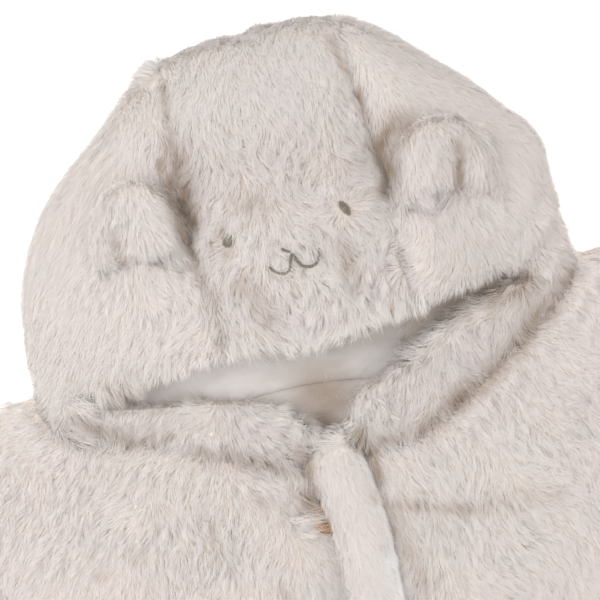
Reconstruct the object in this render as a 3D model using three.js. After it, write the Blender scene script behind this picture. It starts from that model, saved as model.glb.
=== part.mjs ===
// Hooded faux fur baby poncho, laid flat on its back with the front up.
//
// Millimetres, +Z up. The garment lies on z = 0: the hood points along +Y, the hem along -Y, and X runs across
// the shoulders. While it is built, y = 0 is level with the eyes' brow line of the hood; at the end the whole
// garment is moved so that the origin is at the bottom centre of its box. Every cloth solid is a wall with an
// outer and an inner surface over the same plan, and it reaches as far as its fur does.

import * as THREE from 'three';

// ---- driving dimensions -------------------------------------------------------------------------------------

const SEAM = 0.3; // gap between sewn pieces, and between layers that lie on each other
const PILE = 11; // fur wall: pile and backing
const BACK_TOP = 7; // under layer, its pile pressed flat by the garment's weight
const LINING = 2.4; // plush lining cloth
const REST = BACK_TOP + SEAM; // level on which the upper pieces lie
const FRONT_FLAT = 16; // outer level of the fronts at the neck and under the placket
const FRONT_PUFF = 5; // how much further the fur of the fronts stands away from there
const UNDERCUT = 4; // how far the under layer's edge curls in towards the surface
const FUR_ROUND = 9; // radius of a fur edge

const SHOULDER_Y = -11; // the straight fold across the shoulders
const HEM_RADIUS = 380; // half circle, from the middle of the shoulder fold to the hem
const NECK_HALF_WIDTH = 150; // where the hood's silhouette meets the shoulder fold

const LIP_EDGE_LEVEL = 25; // middle of the wall along the lower lip of the hood's mouth
const LIP_SEAM_LEVEL = 11.5; // middle of the wall at the neck seam
const CROWN_DROP = 0.24; // share of its height that the hood loses from the brim to the crown
const ROLL = 20; // length over which the hood rolls down at its silhouette
const GUSSET_BULGE = 5; // how far the middle panel stands above its seams
const RIM_FACE = 5; // height of the rolled edge where the upper wall meets the under layer

const BUTTON_RADIUS = 8.5;
const BUTTON_THICK = 4;
const BUTTON_BEVEL = 1;
const BUTTON_HOLE_OUT = 1.9; // each of the four holes lies this far out along X and Y
const BUTTON_HOLE_RADIUS = 1.8; // before the bevel takes its share
const BUTTON_PEEK = 11; // how much of a button shows beside the placket
const BUTTONS = [
  { name: 'button_top', y: -119 },
  { name: 'button_middle', y: -207 },
  { name: 'button_low', y: -295 },
];
const FLAP_LIFT = BUTTON_THICK + 3 * SEAM; // the placket's free edge stands this high over the front
const PLACKET_HEIGHT = 12;
const BINDING_WIDTH = 4.6;
const BINDING_HEIGHT = 8;
const BINDING_ROUND = 5; // over this length its upper end rises from under the placket's fur

// ---- tables: a row for each station or fold -----------------------------------------------------------------

// Ribs of the hood's side panels. Each runs from the front edge (the lip from the V to the mouth's corner, then
// the brim up to the middle panel) out to the neck seam and the silhouette. level is the fur's height at the
// front edge along the brim.
const CORNER = 6; // row of each table that lies at the mouth's corner
const RIBS_LEFT = [
  { frontX: -6, frontY: -72, outerX: -24, outerY: -85, level: 31 },
  { frontX: -14, frontY: -65, outerX: -36, outerY: -82.5, level: 31 },
  { frontX: -28, frontY: -49, outerX: -49, outerY: -78, level: 31 },
  { frontX: -58, frontY: -40, outerX: -78, outerY: -63, level: 30 },
  { frontX: -94, frontY: -33, outerX: -111, outerY: -51, level: 29 },
  { frontX: -118, frontY: -27.5, outerX: -134, outerY: -44, level: 28 },
  { frontX: -127.5, frontY: -25, outerX: -149, outerY: -31, level: 28 },
  { frontX: -124, frontY: -24, outerX: -152.5, outerY: -12, level: 29 },
  { frontX: -116, frontY: -23.5, outerX: -149, outerY: 22, level: 32 },
  { frontX: -105, frontY: -23, outerX: -142, outerY: 50, level: 37 },
  { frontX: -92, frontY: -22, outerX: -125, outerY: 79, level: 43 },
  { frontX: -80, frontY: -21, outerX: -105, outerY: 99, level: 49 },
  { frontX: -69, frontY: -20.5, outerX: -84, outerY: 113, level: 54 },
  { frontX: -59, frontY: -20.5, outerX: -64, outerY: 132, level: 58 },
  { frontX: -48, frontY: -17, outerX: -40, outerY: 147, level: 61 },
];
const RIBS_RIGHT = [
  { frontX: 6.8, frontY: -72, outerX: 13.5, outerY: -89, level: 31 },
  { frontX: 11, frontY: -63, outerX: 27, outerY: -89.5, level: 31 },
  { frontX: 21, frontY: -52, outerX: 43, outerY: -87.5, level: 32 },
  { frontX: 45, frontY: -48, outerX: 63, outerY: -78, level: 32 },
  { frontX: 63, frontY: -34, outerX: 88, outerY: -64, level: 31 },
  { frontX: 95, frontY: -25, outerX: 118, outerY: -47, level: 29 },
  { frontX: 125, frontY: -18, outerX: 147, outerY: -26, level: 28 },
  { frontX: 121, frontY: -16, outerX: 149.5, outerY: -12, level: 29 },
  { frontX: 112, frontY: -13.5, outerX: 147.5, outerY: 24, level: 33 },
  { frontX: 102, frontY: -13, outerX: 148, outerY: 54, level: 38 },
  { frontX: 93, frontY: -13.5, outerX: 132, outerY: 75, level: 44 },
  { frontX: 84, frontY: -15, outerX: 116, outerY: 95, level: 50 },
  { frontX: 75, frontY: -16.5, outerX: 97, outerY: 113, level: 55 },
  { frontX: 67, frontY: -18, outerX: 79, outerY: 132, level: 59 },
  { frontX: 59, frontY: -19.5, outerX: 57, outerY: 147, level: 61 },
];

// The middle panel's two ends, from the left seam to the right one.
const BRIM = [
  { across: 0, y: -17 },
  { across: 0.25, y: -25.5 },
  { across: 0.52, y: -29 },
  { across: 0.78, y: -25 },
  { across: 1, y: -19.5 },
];
const CROWN = [
  { across: 0, y: 147 },
  { across: 0.25, y: 152 },
  { across: 0.55, y: 150 },
  { across: 0.8, y: 152 },
  { across: 1, y: 147 },
];

// Seams and folds of the hood, sunk into its outer surface from one end to the other.
const HOOD_FOLDS = [
  { x1: -48, y1: -17, x2: -40, y2: 147, depth: 6, width: 8 }, // left seam of the middle panel
  { x1: 59, y1: -20, x2: 57, y2: 147, depth: 6, width: 8 }, // right seam of the middle panel
  { x1: -48, y1: 96, x2: -47, y2: 54, depth: 8, width: 9 }, // fold that deepens the left seam beside the ear
  { x1: 59, y1: 90, x2: 60, y2: 54, depth: 6, width: 9 }, // the same on the right
  { x1: -100, y1: 38, x2: -52, y2: 40, depth: 2.5, width: 8 }, // left ear's dart
  { x1: 62, y1: 30, x2: 112, y2: 29, depth: 2.5, width: 8 }, // right ear's dart
  { x1: -70, y1: 14, x2: -66, y2: -8, depth: 3, width: 12 }, // slack between the left ear and the brim
  { x1: 20, y1: -2, x2: 44, y2: 8, depth: 3, width: 12 }, // beside the muzzle
];

// Folds of the fronts. The flare of the half circle adds the long ones towards the hem.
const FRONT_FOLDS = [
  { x1: 38, y1: -126, x2: 70, y2: -148, depth: 6, width: 9 },
  { x1: 110, y1: -93, x2: 136, y2: -99, depth: 5, width: 9 },
  { x1: 34, y1: -150, x2: 40, y2: -178, depth: 5, width: 9 },
  { x1: -92, y1: -112, x2: -70, y2: -108, depth: 4, width: 10 },
  { x1: -150, y1: -85, x2: -120, y2: -98, depth: 4, width: 13 },
  { x1: -205, y1: -58, x2: -262, y2: -84, depth: 5, width: 16 },
  { x1: 196, y1: -62, x2: 255, y2: -96, depth: 5, width: 16 },
  { x1: -96, y1: -238, x2: -128, y2: -318, depth: 6, width: 17 },
  { x1: 88, y1: -228, x2: 112, y2: -326, depth: 6, width: 17 },
  { x1: -196, y1: -178, x2: -254, y2: -232, depth: 5, width: 18 },
  { x1: 202, y1: -168, x2: 268, y2: -226, depth: 5, width: 18 },
];

// The placket's two edges, its white binding included, from the V down to the hem.
const PLACKET = [
  { y: -73, left: -5, right: 6 },
  { y: -79.5, left: -14, right: 8.6 },
  { y: -86, left: -21, right: 11 },
  { y: -96, left: -18, right: 12.3 },
  { y: -112, left: -14.5, right: 14.8 },
  { y: -126, left: -14, right: 15 },
  { y: -150, left: -15.5, right: 15 },
  { y: -172, left: -17, right: 12.8 },
  { y: -230, left: -16, right: 14 },
  { y: -300, left: -14, right: 16 },
  { y: SHOULDER_Y - HEM_RADIUS + 4, left: -15, right: 15 },
];
const BINDING_TOP = -80;
const BUTTON_ROOM_TOP = -92; // the placket's free edge starts here

// Ears: the middle of the seam that holds each, where the tip points, and its size.
const EARS = [
  { name: 'ear_left', x: -76, y: 42, aim: 84, halfWidth: 26, length: 44, foldAt: -0.42 },
  { name: 'ear_right', x: 91, y: 34, aim: 86, halfWidth: 30, length: 43, foldAt: 0.38 },
];
const EAR_THICK = 15;
const EAR_TROUGH = 8; // depth of the fold that runs up each ear
const EAR_LIFT = 7; // how far the ear's tip leans away from the hood

// ---- small helpers ------------------------------------------------------------------------------------------

const lerp = THREE.MathUtils.lerp;
const clamp = THREE.MathUtils.clamp;
const smooth = THREE.MathUtils.smoothstep;

// A smooth curve through two named columns of a table, one row after the other.
const curveOf = (rows, xKey, yKey) => new THREE.SplineCurve(rows.map((row) => new THREE.Vector2(row[xKey], row[yKey])));

// A value of a table read against its first column, straight between rows.
function readTable(rows, key, at, column) {
  const sign = Math.sign(rows.at(-1)[key] - rows[0][key]);
  const next = rows.findIndex((row) => sign * (row[key] - at) >= 0);
  if (next <= 0) return next === 0 ? rows[0][column] : rows.at(-1)[column];
  const [a, b] = [rows[next - 1], rows[next]];
  return lerp(a[column], b[column], (at - a[key]) / (b[key] - a[key]));
}

// Depth that the folds of a table sink the surface by at a place.
function foldDepth(folds, x, y) {
  let depth = 0;
  for (const fold of folds) {
    const [dx, dy] = [fold.x2 - fold.x1, fold.y2 - fold.y1];
    const along = clamp(((x - fold.x1) * dx + (y - fold.y1) * dy) / (dx * dx + dy * dy), 0, 1);
    const away = Math.hypot(x - fold.x1 - along * dx, y - fold.y1 - along * dy);
    depth += fold.depth * Math.exp(-((away / fold.width) ** 2));
  }
  return depth;
}

// How far a rounded edge of a given radius lies below its crest, at a distance in from the edge.
function edgeDrop(distance, radius) {
  const short = clamp(1 - distance / radius, 0, 1);
  return radius * (1 - Math.sqrt(1 - short * short));
}

// Steps from 0 to 1 that crowd towards both ends, where edges are round.
const crowded = (count) => Array.from({ length: count + 1 }, (_, i) => (1 - Math.cos((Math.PI * i) / count)) / 2);
const even = (count) => Array.from({ length: count + 1 }, (_, i) => i / count);

// A closed wall over a plan. place(u, v) gives x and y, levels(u, v, x, y) the outer and the inner height, and
// lowerPlace(u, v) the x and y of the lower surface where its edge curls in.
function wall(us, vs, place, levels, lowerPlace = place) {
  const positions = [];
  const index = [];
  const columns = us.length;
  const count = columns * vs.length;
  for (const lower of [false, true]) {
    for (const v of vs) {
      for (const u of us) {
        const [x, y] = place(u, v);
        const heights = levels(u, v, x, y);
        const [px, py] = lower ? lowerPlace(u, v) : [x, y];
        positions.push(px, py, lower ? heights[1] : heights[0]);
      }
    }
  }
  const quad = (a, b, c, d) => index.push(a, b, c, a, c, d);
  for (let j = 0; j < vs.length - 1; j += 1) {
    for (let i = 0; i < columns - 1; i += 1) {
      const a = j * columns + i;
      quad(a, a + 1, a + 1 + columns, a + columns);
      quad(count + a, count + a + columns, count + a + 1 + columns, count + a + 1);
    }
  }
  const rim = [];
  for (let i = 0; i < columns - 1; i += 1) rim.push(i);
  for (let j = 0; j < vs.length - 1; j += 1) rim.push(j * columns + columns - 1);
  for (let i = columns - 1; i > 0; i -= 1) rim.push((vs.length - 1) * columns + i);
  for (let j = vs.length - 1; j > 0; j -= 1) rim.push(j * columns);
  rim.forEach((a, k) => {
    const b = rim[(k + 1) % rim.length];
    quad(b, a, a + count, b + count);
  });
  const corner = (k) => positions.slice(3 * rim[k % rim.length], 3 * rim[k % rim.length] + 2);
  const area = rim.reduce((sum, _, k) => sum + corner(k)[0] * corner(k + 1)[1] - corner(k + 1)[0] * corner(k)[1], 0);
  if (area < 0) {
    for (let k = 0; k < index.length; k += 3) [index[k], index[k + 1]] = [index[k + 1], index[k]];
  }
  const geometry = new THREE.BufferGeometry();
  geometry.setAttribute('position', new THREE.Float32BufferAttribute(positions, 3));
  geometry.setIndex(index);
  geometry.computeVertexNormals();
  return geometry;
}

// ---- materials ----------------------------------------------------------------------------------------------

const furCloth = new THREE.MeshStandardMaterial({ name: 'fur', color: 0xe2dad2, roughness: 0.95, metalness: 0 });
const liningCloth = new THREE.MeshStandardMaterial({ name: 'lining', color: 0xf0eeea, roughness: 0.85, metalness: 0 });
const bindingCloth = new THREE.MeshStandardMaterial({ name: 'binding', color: 0xf7f6f3, roughness: 0.7, metalness: 0 });
const buttonWood = new THREE.MeshStandardMaterial({ name: 'button', color: 0xa8733d, roughness: 0.4, metalness: 0 });

const garment = new THREE.Group();

function add(name, geometry, material) {
  const mesh = new THREE.Mesh(geometry, material);
  mesh.name = name;
  garment.add(mesh);
  return mesh;
}

// ---- hood ---------------------------------------------------------------------------------------------------

const SIDE_COLUMNS = 30; // facets of a side panel along its edge
const SHOULDER_COLUMN = 15; // the one where the silhouette crosses the shoulder fold
const NECK_STEPS = even(24);

// One side panel's ribs as curves over 0 (the V) to 1 (the middle panel's seam). rim follows the facets' edge.
function ribsOf(rows, inward) {
  const front = curveOf(rows, 'frontX', 'frontY');
  const outer = curveOf(rows, 'outerX', 'outerY');
  const level = curveOf(rows.map((row, i) => ({ i, level: row.level })), 'i', 'level');
  const shift = (t) => (inward * SEAM) / 2 * (t === 1 || t === 0 ? 1 : 0);
  const at = (s, t) => {
    const [f, o] = [front.getPoint(t), outer.getPoint(t)];
    return [lerp(f.x, o.x, s) + shift(t), lerp(f.y, o.y, s)];
  };
  const rim = (t) => {
    const [step, part] = [Math.floor(t * SIDE_COLUMNS), (t * SIDE_COLUMNS) % 1];
    const [a, b] = [at(1, step / SIDE_COLUMNS), at(1, Math.min(1, (step + 1) / SIDE_COLUMNS))];
    return [lerp(a[0], b[0], part), lerp(a[1], b[1], part)];
  };
  const length = (t) => front.getPoint(t).distanceTo(outer.getPoint(t));
  return { at, rim, length, level: (t) => level.getPoint(t).y, corner: CORNER / (rows.length - 1) };
}

const left = ribsOf(RIBS_LEFT, -1);
const right = ribsOf(RIBS_RIGHT, 1);

// The roof of the hood along a rib: its outer level, and the inner one that starts a wall's thickness in.
function roofLevels(s, length, level) {
  const power = Math.max(2.2, length / ROLL);
  const shape = (at) => (1 - CROWN_DROP * at) * Math.sqrt(Math.max(0, 1 - at ** power));
  const inner = clamp(s / (1 - PILE / length), 0, 1);
  const top = REST + RIM_FACE + (level - REST - RIM_FACE) * shape(s);
  const under = REST + (level - PILE - REST) * shape(inner);
  return [top, under];
}

// The lower lip along a rib: a wall that leans in over the neck, from its seam up to its free edge.
function lipLevels(s) {
  const middle = lerp(LIP_EDGE_LEVEL, LIP_SEAM_LEVEL, s ** 1.35);
  const half = (PILE / 2) * (1 - 0.25 * s);
  return [middle + half, Math.max(REST, middle - half)];
}

// Outer and inner level of a side panel.
function sideLevels(ribs, s, t, x, y) {
  const length = ribs.length(t);
  const roof = roofLevels(s, length, ribs.level(t));
  const lip = lipLevels(s);
  const share = smooth(t, ribs.corner - 0.03, ribs.corner + 0.09);
  const edge = edgeDrop(s * length, FUR_ROUND) * 0.5;
  const top = lerp(lip[0], roof[0], share) - foldDepth(HOOD_FOLDS, x, y) * share * (1 - s ** 6) - edge;
  const under = lerp(lip[1], roof[1], share) + (s < 1 ? edge * 0.4 : 0);
  return [top, Math.min(under, top - 2)];
}

const RIB_STEPS = [0, 0.02, 0.055, 0.12, 0.2, 0.29, 0.38, 0.47, 0.56, 0.65, 0.74, 0.82, 0.89, 0.945, 0.98, 1];

function hoodSide(name, ribs) {
  const place = (t, s) => ribs.at(s, t);
  const levels = (t, s, x, y) => sideLevels(ribs, s, t, x, y);
  return add(name, wall(even(SIDE_COLUMNS), RIB_STEPS, place, levels), furCloth);
}

const sideLeft = hoodSide('hood_side_left', left);
const sideRight = hoodSide('hood_side_right', right);

// The middle panel lies between the two seams, from the brim over the crown.
function hoodCentre() {
  const place = (u, s) => {
    const [a, b] = [left.at(s, 1), right.at(s, 1)];
    const [seamA, seamB] = [a[0] + SEAM, b[0] - SEAM];
    const y = lerp(readTable(BRIM, 'across', u, 'y'), readTable(CROWN, 'across', u, 'y'), s);
    return [lerp(seamA, seamB, u), y];
  };
  const levels = (u, s, x, y) => {
    const length = lerp(left.length(1), right.length(1), u);
    const level = lerp(left.level(1), right.level(1), u);
    const [top, under] = roofLevels(s, length, level);
    const bulge = GUSSET_BULGE * Math.sin(Math.PI * u) * (1 - s ** 6);
    const edge = edgeDrop(s * length, FUR_ROUND) * 0.5;
    const outer = top + bulge - foldDepth(HOOD_FOLDS, x, y) * (1 - s ** 6) - edge;
    return [outer, Math.min(under + (s < 1 ? edge * 0.4 : 0), outer - 2)];
  };
  return add('hood_centre', wall(crowded(11), RIB_STEPS, place, levels), furCloth);
}

const centre = hoodCentre();

// The back neck seam, from the left silhouette to the right one: it sets the hood's under layer apart from the back.
const NECK_SEAM_DIP = 27;
const neckSeam = (u) => {
  const [a, b] = [left.at(1, left.corner + 0.04), right.at(1, right.corner + 0.04)];
  return [lerp(a[0], b[0], u), lerp(a[1], b[1], u) - NECK_SEAM_DIP * Math.sin(Math.PI * u) ** 0.7];
};

// The hood's under layer: what folds round the silhouette and lies on the surface.
function hoodBack() {
  const plan = (inset) => (u, v) => {
    const t = lerp(left.corner + 0.04, 1, v);
    const [a, b] = [left.at(1, t), right.at(1, t)];
    const seam = neckSeam(u);
    const crown = readTable(CROWN, 'across', u, 'y') - lerp(CROWN[0].y, CROWN.at(-1).y, u);
    const straight = [lerp(a[0], b[0], u), lerp(a[1], b[1], u)];
    const low = [seam[0], seam[1] + SEAM];
    const hold = (1 - v) ** 3;
    const x = lerp(straight[0], low[0], hold);
    const y = lerp(straight[1], low[1] + (straight[1] - low[1]) * v, hold) + crown * v ** 4;
    return [x * (1 - inset / 150), y - inset * v ** 2];
  };
  const levels = () => [BACK_TOP, 0];
  return add('hood_back', wall(NECK_STEPS, even(8), plan(0), levels, plan(UNDERCUT)), furCloth);
}

hoodBack();

// ---- linings that show in the mouth -------------------------------------------------------------------------

// Edge of the lining along a rib, clear of the wall that comes down to the under layer.
const LINING_CLEAR = 22;
const liningEdge = (ribs, t) => ribs.at(Math.max(0.5, 1 - LINING_CLEAR / ribs.length(t)), t);
const NECK_LINING_START = 1 / (RIBS_LEFT.length - 1);
const NECK_LINING_END = 3.2 / (RIBS_LEFT.length - 1);
const HOOD_LINING_END = 12.5 / (RIBS_LEFT.length - 1);
const LINING_SEAM_RISE = 9;

// A lining between two stations of the ribs. One of its ends lies on the back neck seam, which bows up a little.
function lining(name, { rows, from, to, seamAt }) {
  const place = (u, v) => {
    const t = lerp(from, to, v);
    const [a, b] = [liningEdge(left, t), liningEdge(right, t)];
    const nearSeam = 1 - Math.abs(seamAt - v);
    const bow = LINING_SEAM_RISE * nearSeam * Math.sin(Math.PI * u);
    return [lerp(a[0], b[0], u), lerp(a[1], b[1], u) + bow + (0.5 - seamAt) * SEAM * nearSeam];
  };
  const levels = (u, v, x, y) => {
    const wave = 1.1 * Math.sin(x / 17 + y / 31) * Math.sin(y / 13 - x / 40);
    return [REST + LINING + wave, REST];
  };
  return add(name, wall(even(14), even(rows), place, levels), liningCloth);
}

lining('neck_lining', { rows: 4, from: NECK_LINING_START, to: NECK_LINING_END, seamAt: 1 });
lining('hood_lining', { rows: 8, from: NECK_LINING_END, to: HOOD_LINING_END, seamAt: 0 });

// ---- body ---------------------------------------------------------------------------------------------------

const hem = (angle, radius = HEM_RADIUS) => [radius * Math.cos(angle), SHOULDER_Y + radius * Math.sin(angle)];

// The back: a half circle round the neck seam.
function bodyBack() {
  const plan = (inset) => (u, v) => {
    const seam = neckSeam(u);
    const [x, y] = hem(Math.PI * (1 + u), HEM_RADIUS - inset);
    const top = [seam[0], Math.min(seam[1], SHOULDER_Y) - SEAM];
    return [lerp(top[0], x, v), lerp(top[1], y, v)];
  };
  const levels = () => [BACK_TOP, 0];
  return add('back', wall(NECK_STEPS, even(6), plan(0), levels, plan(UNDERCUT)), furCloth);
}

bodyBack();

// A front: from the hood's outer edge and neck seam out to the hem, and from the shoulder fold to the middle.
const FRONT_COLUMNS = 2 * SHOULDER_COLUMN + 2; // two to a facet of the hood, and two under the placket
const FRONT_TOP_MIDDLE = -90; // where the front's neck edge reaches the middle line

function front(name, ribs, side) {
  const place = (u, v) => {
    const column = u * FRONT_COLUMNS;
    const [nx, ny] = ribs.rim(Math.max(0, SHOULDER_COLUMN - column / 2) / SIDE_COLUMNS);
    const inward = Math.max(0, column / 2 - SHOULDER_COLUMN);
    const edge = [nx + side * 2 * SEAM, Math.min(ny - 2 * SEAM, SHOULDER_Y)];
    const start = [lerp(edge[0], 0, inward), lerp(edge[1], FRONT_TOP_MIDDLE, inward)];
    const [hx, hy] = hem(Math.PI * (side < 0 ? 1 + u / 2 : 2 - u / 2));
    return [side * Math.max(side * lerp(start[0], hx, v), SEAM / 2), lerp(start[1], hy, v)];
  };
  const levels = (u, v, x, y) => {
    const fromMiddle = smooth(Math.abs(x), 28, 60);
    const fromNeck = smooth(v, 0, 0.12);
    const toHem = edgeDrop((1 - v) * (HEM_RADIUS - NECK_HALF_WIDTH), FUR_ROUND * 1.6);
    const toShoulder = edgeDrop(SHOULDER_Y - y, FUR_ROUND * 1.6);
    const flare = 3 * v * v * Math.sin(13 * Math.atan2(x, SHOULDER_Y - y) + side);
    const puff = (FRONT_PUFF + flare - foldDepth(FRONT_FOLDS, x, y)) * fromMiddle * fromNeck;
    return [FRONT_FLAT + puff - 0.55 * Math.max(toHem, toShoulder), REST];
  };
  const reach = [0, 0.03, 0.08, 0.15, 0.23, 0.32, 0.42, 0.52, 0.62, 0.72, 0.81, 0.89, 0.95, 0.98, 1];
  return add(name, wall(even(FRONT_COLUMNS), reach, place, levels), furCloth);
}

front('front_left', left, -1);
front('front_right', right, 1);

// ---- placket, its binding and the buttons -------------------------------------------------------------------

function placketAt(y) {
  const [from, edge] = [readTable(PLACKET, 'y', y, 'left'), readTable(PLACKET, 'y', y, 'right')];
  return { from, to: edge - BINDING_WIDTH * clamp((BINDING_TOP - y) / BINDING_WIDTH, 0, 1), edge };
}

const PLACKET_REST = FRONT_FLAT + SEAM;
const [PLACKET_TOP, PLACKET_BOTTOM] = [PLACKET[0].y, PLACKET.at(-1).y];
const PLACKET_STEPS = [0, 0.009, 0.021, 0.042, 0.062, 0.08, ...even(18).slice(2)];

function placket() {
  const across = [0, 0.08, 0.27, 0.34, 0.52, 0.74, 0.91, 1];
  const free = 0.3; // share of the width that is the free edge over the buttons
  const place = (u, v) => {
    const y = lerp(PLACKET_TOP, PLACKET_BOTTOM, v);
    const { from, to } = placketAt(y);
    return [lerp(from, to, u), y];
  };
  const levels = (u, v, x, y) => {
    const crest = PLACKET_HEIGHT * (1 - 0.5 * Math.abs(2 * u - 1) ** 3);
    const ends = 0.5 * edgeDrop(Math.min(PLACKET_TOP - y, y - PLACKET_BOTTOM), FUR_ROUND);
    const foot = u < free && y < BUTTON_ROOM_TOP ? FLAP_LIFT : 0;
    return [PLACKET_REST + crest - ends, PLACKET_REST + foot];
  };
  return add('placket', wall(across, PLACKET_STEPS, place, levels), furCloth);
}

placket();

function placketEdge() {
  const steps = PLACKET_STEPS.filter((v) => lerp(PLACKET_TOP, PLACKET_BOTTOM, v) < BINDING_TOP);
  const place = (u, v) => {
    const y = lerp(PLACKET_TOP, PLACKET_BOTTOM, v);
    const { to, edge } = placketAt(y);
    return [lerp(to + SEAM, edge + SEAM, u), y];
  };
  const levels = (u, v, x, y) => {
    const crest = BINDING_HEIGHT * (1 - u * u / 2) - 0.6 * edgeDrop(BINDING_TOP - y, BINDING_ROUND);
    return [PLACKET_REST + crest, PLACKET_REST];
  };
  return add('placket_edge', wall(even(2), steps, place, levels), bindingCloth);
}

placketEdge();

// A round button with four holes.
function buttonShape() {
  const ring = (x, y, radius, sides) => even(sides - 1).map((_, i) => {
    const angle = (2 * Math.PI * (i + 0.5)) / sides;
    return new THREE.Vector2(x + radius * Math.cos(angle), y + radius * Math.sin(angle));
  });
  const outline = new THREE.Shape(ring(0, 0, BUTTON_RADIUS - BUTTON_BEVEL, 24));
  for (const [x, y] of [[-1, -1], [1, -1], [1, 1], [-1, 1]]) {
    outline.holes.push(new THREE.Path(ring(x * BUTTON_HOLE_OUT, y * BUTTON_HOLE_OUT, BUTTON_HOLE_RADIUS, 6)));
  }
  const bevel = { bevelThickness: BUTTON_BEVEL, bevelSize: BUTTON_BEVEL, bevelSegments: 1 };
  return new THREE.ExtrudeGeometry(outline, { depth: BUTTON_THICK - 2 * BUTTON_BEVEL, ...bevel });
}

for (const { name, y } of BUTTONS) {
  const button = add(name, buttonShape(), buttonWood);
  button.position.set(placketAt(y).from - BUTTON_PEEK + BUTTON_RADIUS, y, PLACKET_REST + BUTTON_BEVEL);
}

// ---- ears ---------------------------------------------------------------------------------------------------

// Height of the hood's fur at a place, read straight down onto its finished panels.
garment.updateMatrixWorld(true);
function furHeight(x, y) {
  const down = new THREE.Raycaster(new THREE.Vector3(x, y, 500), new THREE.Vector3(0, 0, -1));
  const hits = down.intersectObjects([sideLeft, sideRight, centre]);
  return hits.length ? hits[0].point.z : REST;
}

// The highest fur close around a place, so that what lies there clears the facets between its own points.
const AROUND = [[0, 0], [2, 0], [-2, 0], [0, 2], [0, -2]];
const restingHeight = (x, y) => Math.max(...AROUND.map(([dx, dy]) => furHeight(x + dx, y + dy)));

function ear({ name, x, y, aim, halfWidth, length, foldAt }) {
  const tip = new THREE.Vector2(1, 0).rotateAround(new THREE.Vector2(), THREE.MathUtils.degToRad(aim));
  const across = (v) => halfWidth * (0.94 + 0.16 * v) * Math.sqrt(Math.max(0.05, 1 - v ** 2.6));
  const place = (u, v) => {
    const side = (2 * u - 1) * across(v);
    const bow = 4 * (2 * u - 1) ** 2 * (1 - v);
    return [x + tip.x * (length * v - bow) + tip.y * side, y + tip.y * (length * v - bow) - tip.x * side];
  };
  const levels = (u, v, px, py) => {
    const base = restingHeight(px, py) + SEAM + EAR_LIFT * v;
    const side = 2 * u - 1;
    const full = Math.sqrt(Math.max(0.06, (1 - side ** 4) * (1 - (2 * v - 1) ** 6)));
    const trough = EAR_TROUGH * Math.exp(-(((side - foldAt) / 0.2) ** 2)) * smooth(1 - v, 0.2, 0.6);
    return [base + EAR_THICK * full - Math.min(trough, EAR_THICK * full - 2), base];
  };
  return add(name, wall(crowded(10), crowded(8), place, levels), furCloth);
}

EARS.forEach(ear);

// ---- the origin goes to the bottom centre of the garment's box ----------------------------------------------

garment.updateMatrixWorld(true);
const box = new THREE.Box3().setFromObject(garment, true);
const middle = box.getCenter(new THREE.Vector3());
garment.position.set(-middle.x, -middle.y, -box.min.z);

export default garment;
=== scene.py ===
"""A hooded faux fur baby poncho, laid flat on its back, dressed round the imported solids.

Each fur panel becomes a backing cloth on its solid's form with a real pile grown out of it, blade by blade.
The linings, the white binding and the stitched face are made here too, and the buttons get their wood.
Everything is in metres.
"""

import logging
import math
from collections.abc import Callable
from dataclasses import dataclass, field, replace
from enum import Enum

import bmesh
import bpy
import numpy as np
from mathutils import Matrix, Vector
from mathutils.bvhtree import BVHTree


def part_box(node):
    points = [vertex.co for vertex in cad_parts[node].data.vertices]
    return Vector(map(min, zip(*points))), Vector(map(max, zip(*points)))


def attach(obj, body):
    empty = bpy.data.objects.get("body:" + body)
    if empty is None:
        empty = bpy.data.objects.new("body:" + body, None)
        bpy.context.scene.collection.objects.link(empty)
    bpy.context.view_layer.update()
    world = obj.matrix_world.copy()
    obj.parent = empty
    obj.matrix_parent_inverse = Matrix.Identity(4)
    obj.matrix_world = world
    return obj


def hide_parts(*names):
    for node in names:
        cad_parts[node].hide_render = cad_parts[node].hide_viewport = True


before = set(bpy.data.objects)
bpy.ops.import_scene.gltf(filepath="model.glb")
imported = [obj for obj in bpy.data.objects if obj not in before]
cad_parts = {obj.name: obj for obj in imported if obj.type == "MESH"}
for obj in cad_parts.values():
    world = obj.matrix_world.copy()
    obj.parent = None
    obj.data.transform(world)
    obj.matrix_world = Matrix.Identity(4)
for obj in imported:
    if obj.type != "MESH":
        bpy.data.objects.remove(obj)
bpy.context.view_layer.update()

log = logging.getLogger("poncho")

MM = 0.001
BODY = "root"

# Places on the garment are given from the middle of the brow line over the eyes. The top button lies this far
# below it, which tells where the brow line is in the frame.
BUTTON_TOP_LINE = -119 * MM
BROW = (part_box("button_top")[0].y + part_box("button_top")[1].y) / 2 - BUTTON_TOP_LINE

# How far the garment is turned on the surface in the main view, and how much of it shows there.
TURN = math.radians(15.0)
SHOWN_SPAN = 324 * MM

# The pile is close inside the first share of the shown span from its middle, and sparse past the second.
CLOSE_SHARE = 0.50
SPARSE_SHARE = 0.60
# Sparse, broad pile shades itself less than close pile does, so its colours are this much darker.
FAR_TONE = 0.84
WIDEST = 4.5  # sparse blades are at most this many times wider

DOWNWARD = -0.35  # brushed pile also leans down by this share
BRUSH_HOLD = 0.9  # how much of the lay a brushed place, a fold and a cover take over
FOLD_HOLD = 0.7
COVER_HOLD = 0.85
ROOT_DEPTH = 0.6 * MM  # blades start this far under the backing
BEND_SHARE = 0.48  # the share of a blade under its bend
FLATTEST = 92.0  # the most that a tip leans, in degrees from straight up
PILE_CLEARANCE = 0.4 * MM  # how far over the surface the pile and the backing stay
BACKING_CLEARANCE = 0.3 * MM
LEAST_FACING = 0.6  # how closely a blade's shading keeps to the blade's own face


# ---- small helpers ---------------------------------------------------------------------------------------


def blend(a: float, b: float, share: np.ndarray) -> np.ndarray:
    """a where share is 0, b where it is 1."""
    return a + (b - a) * share


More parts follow.
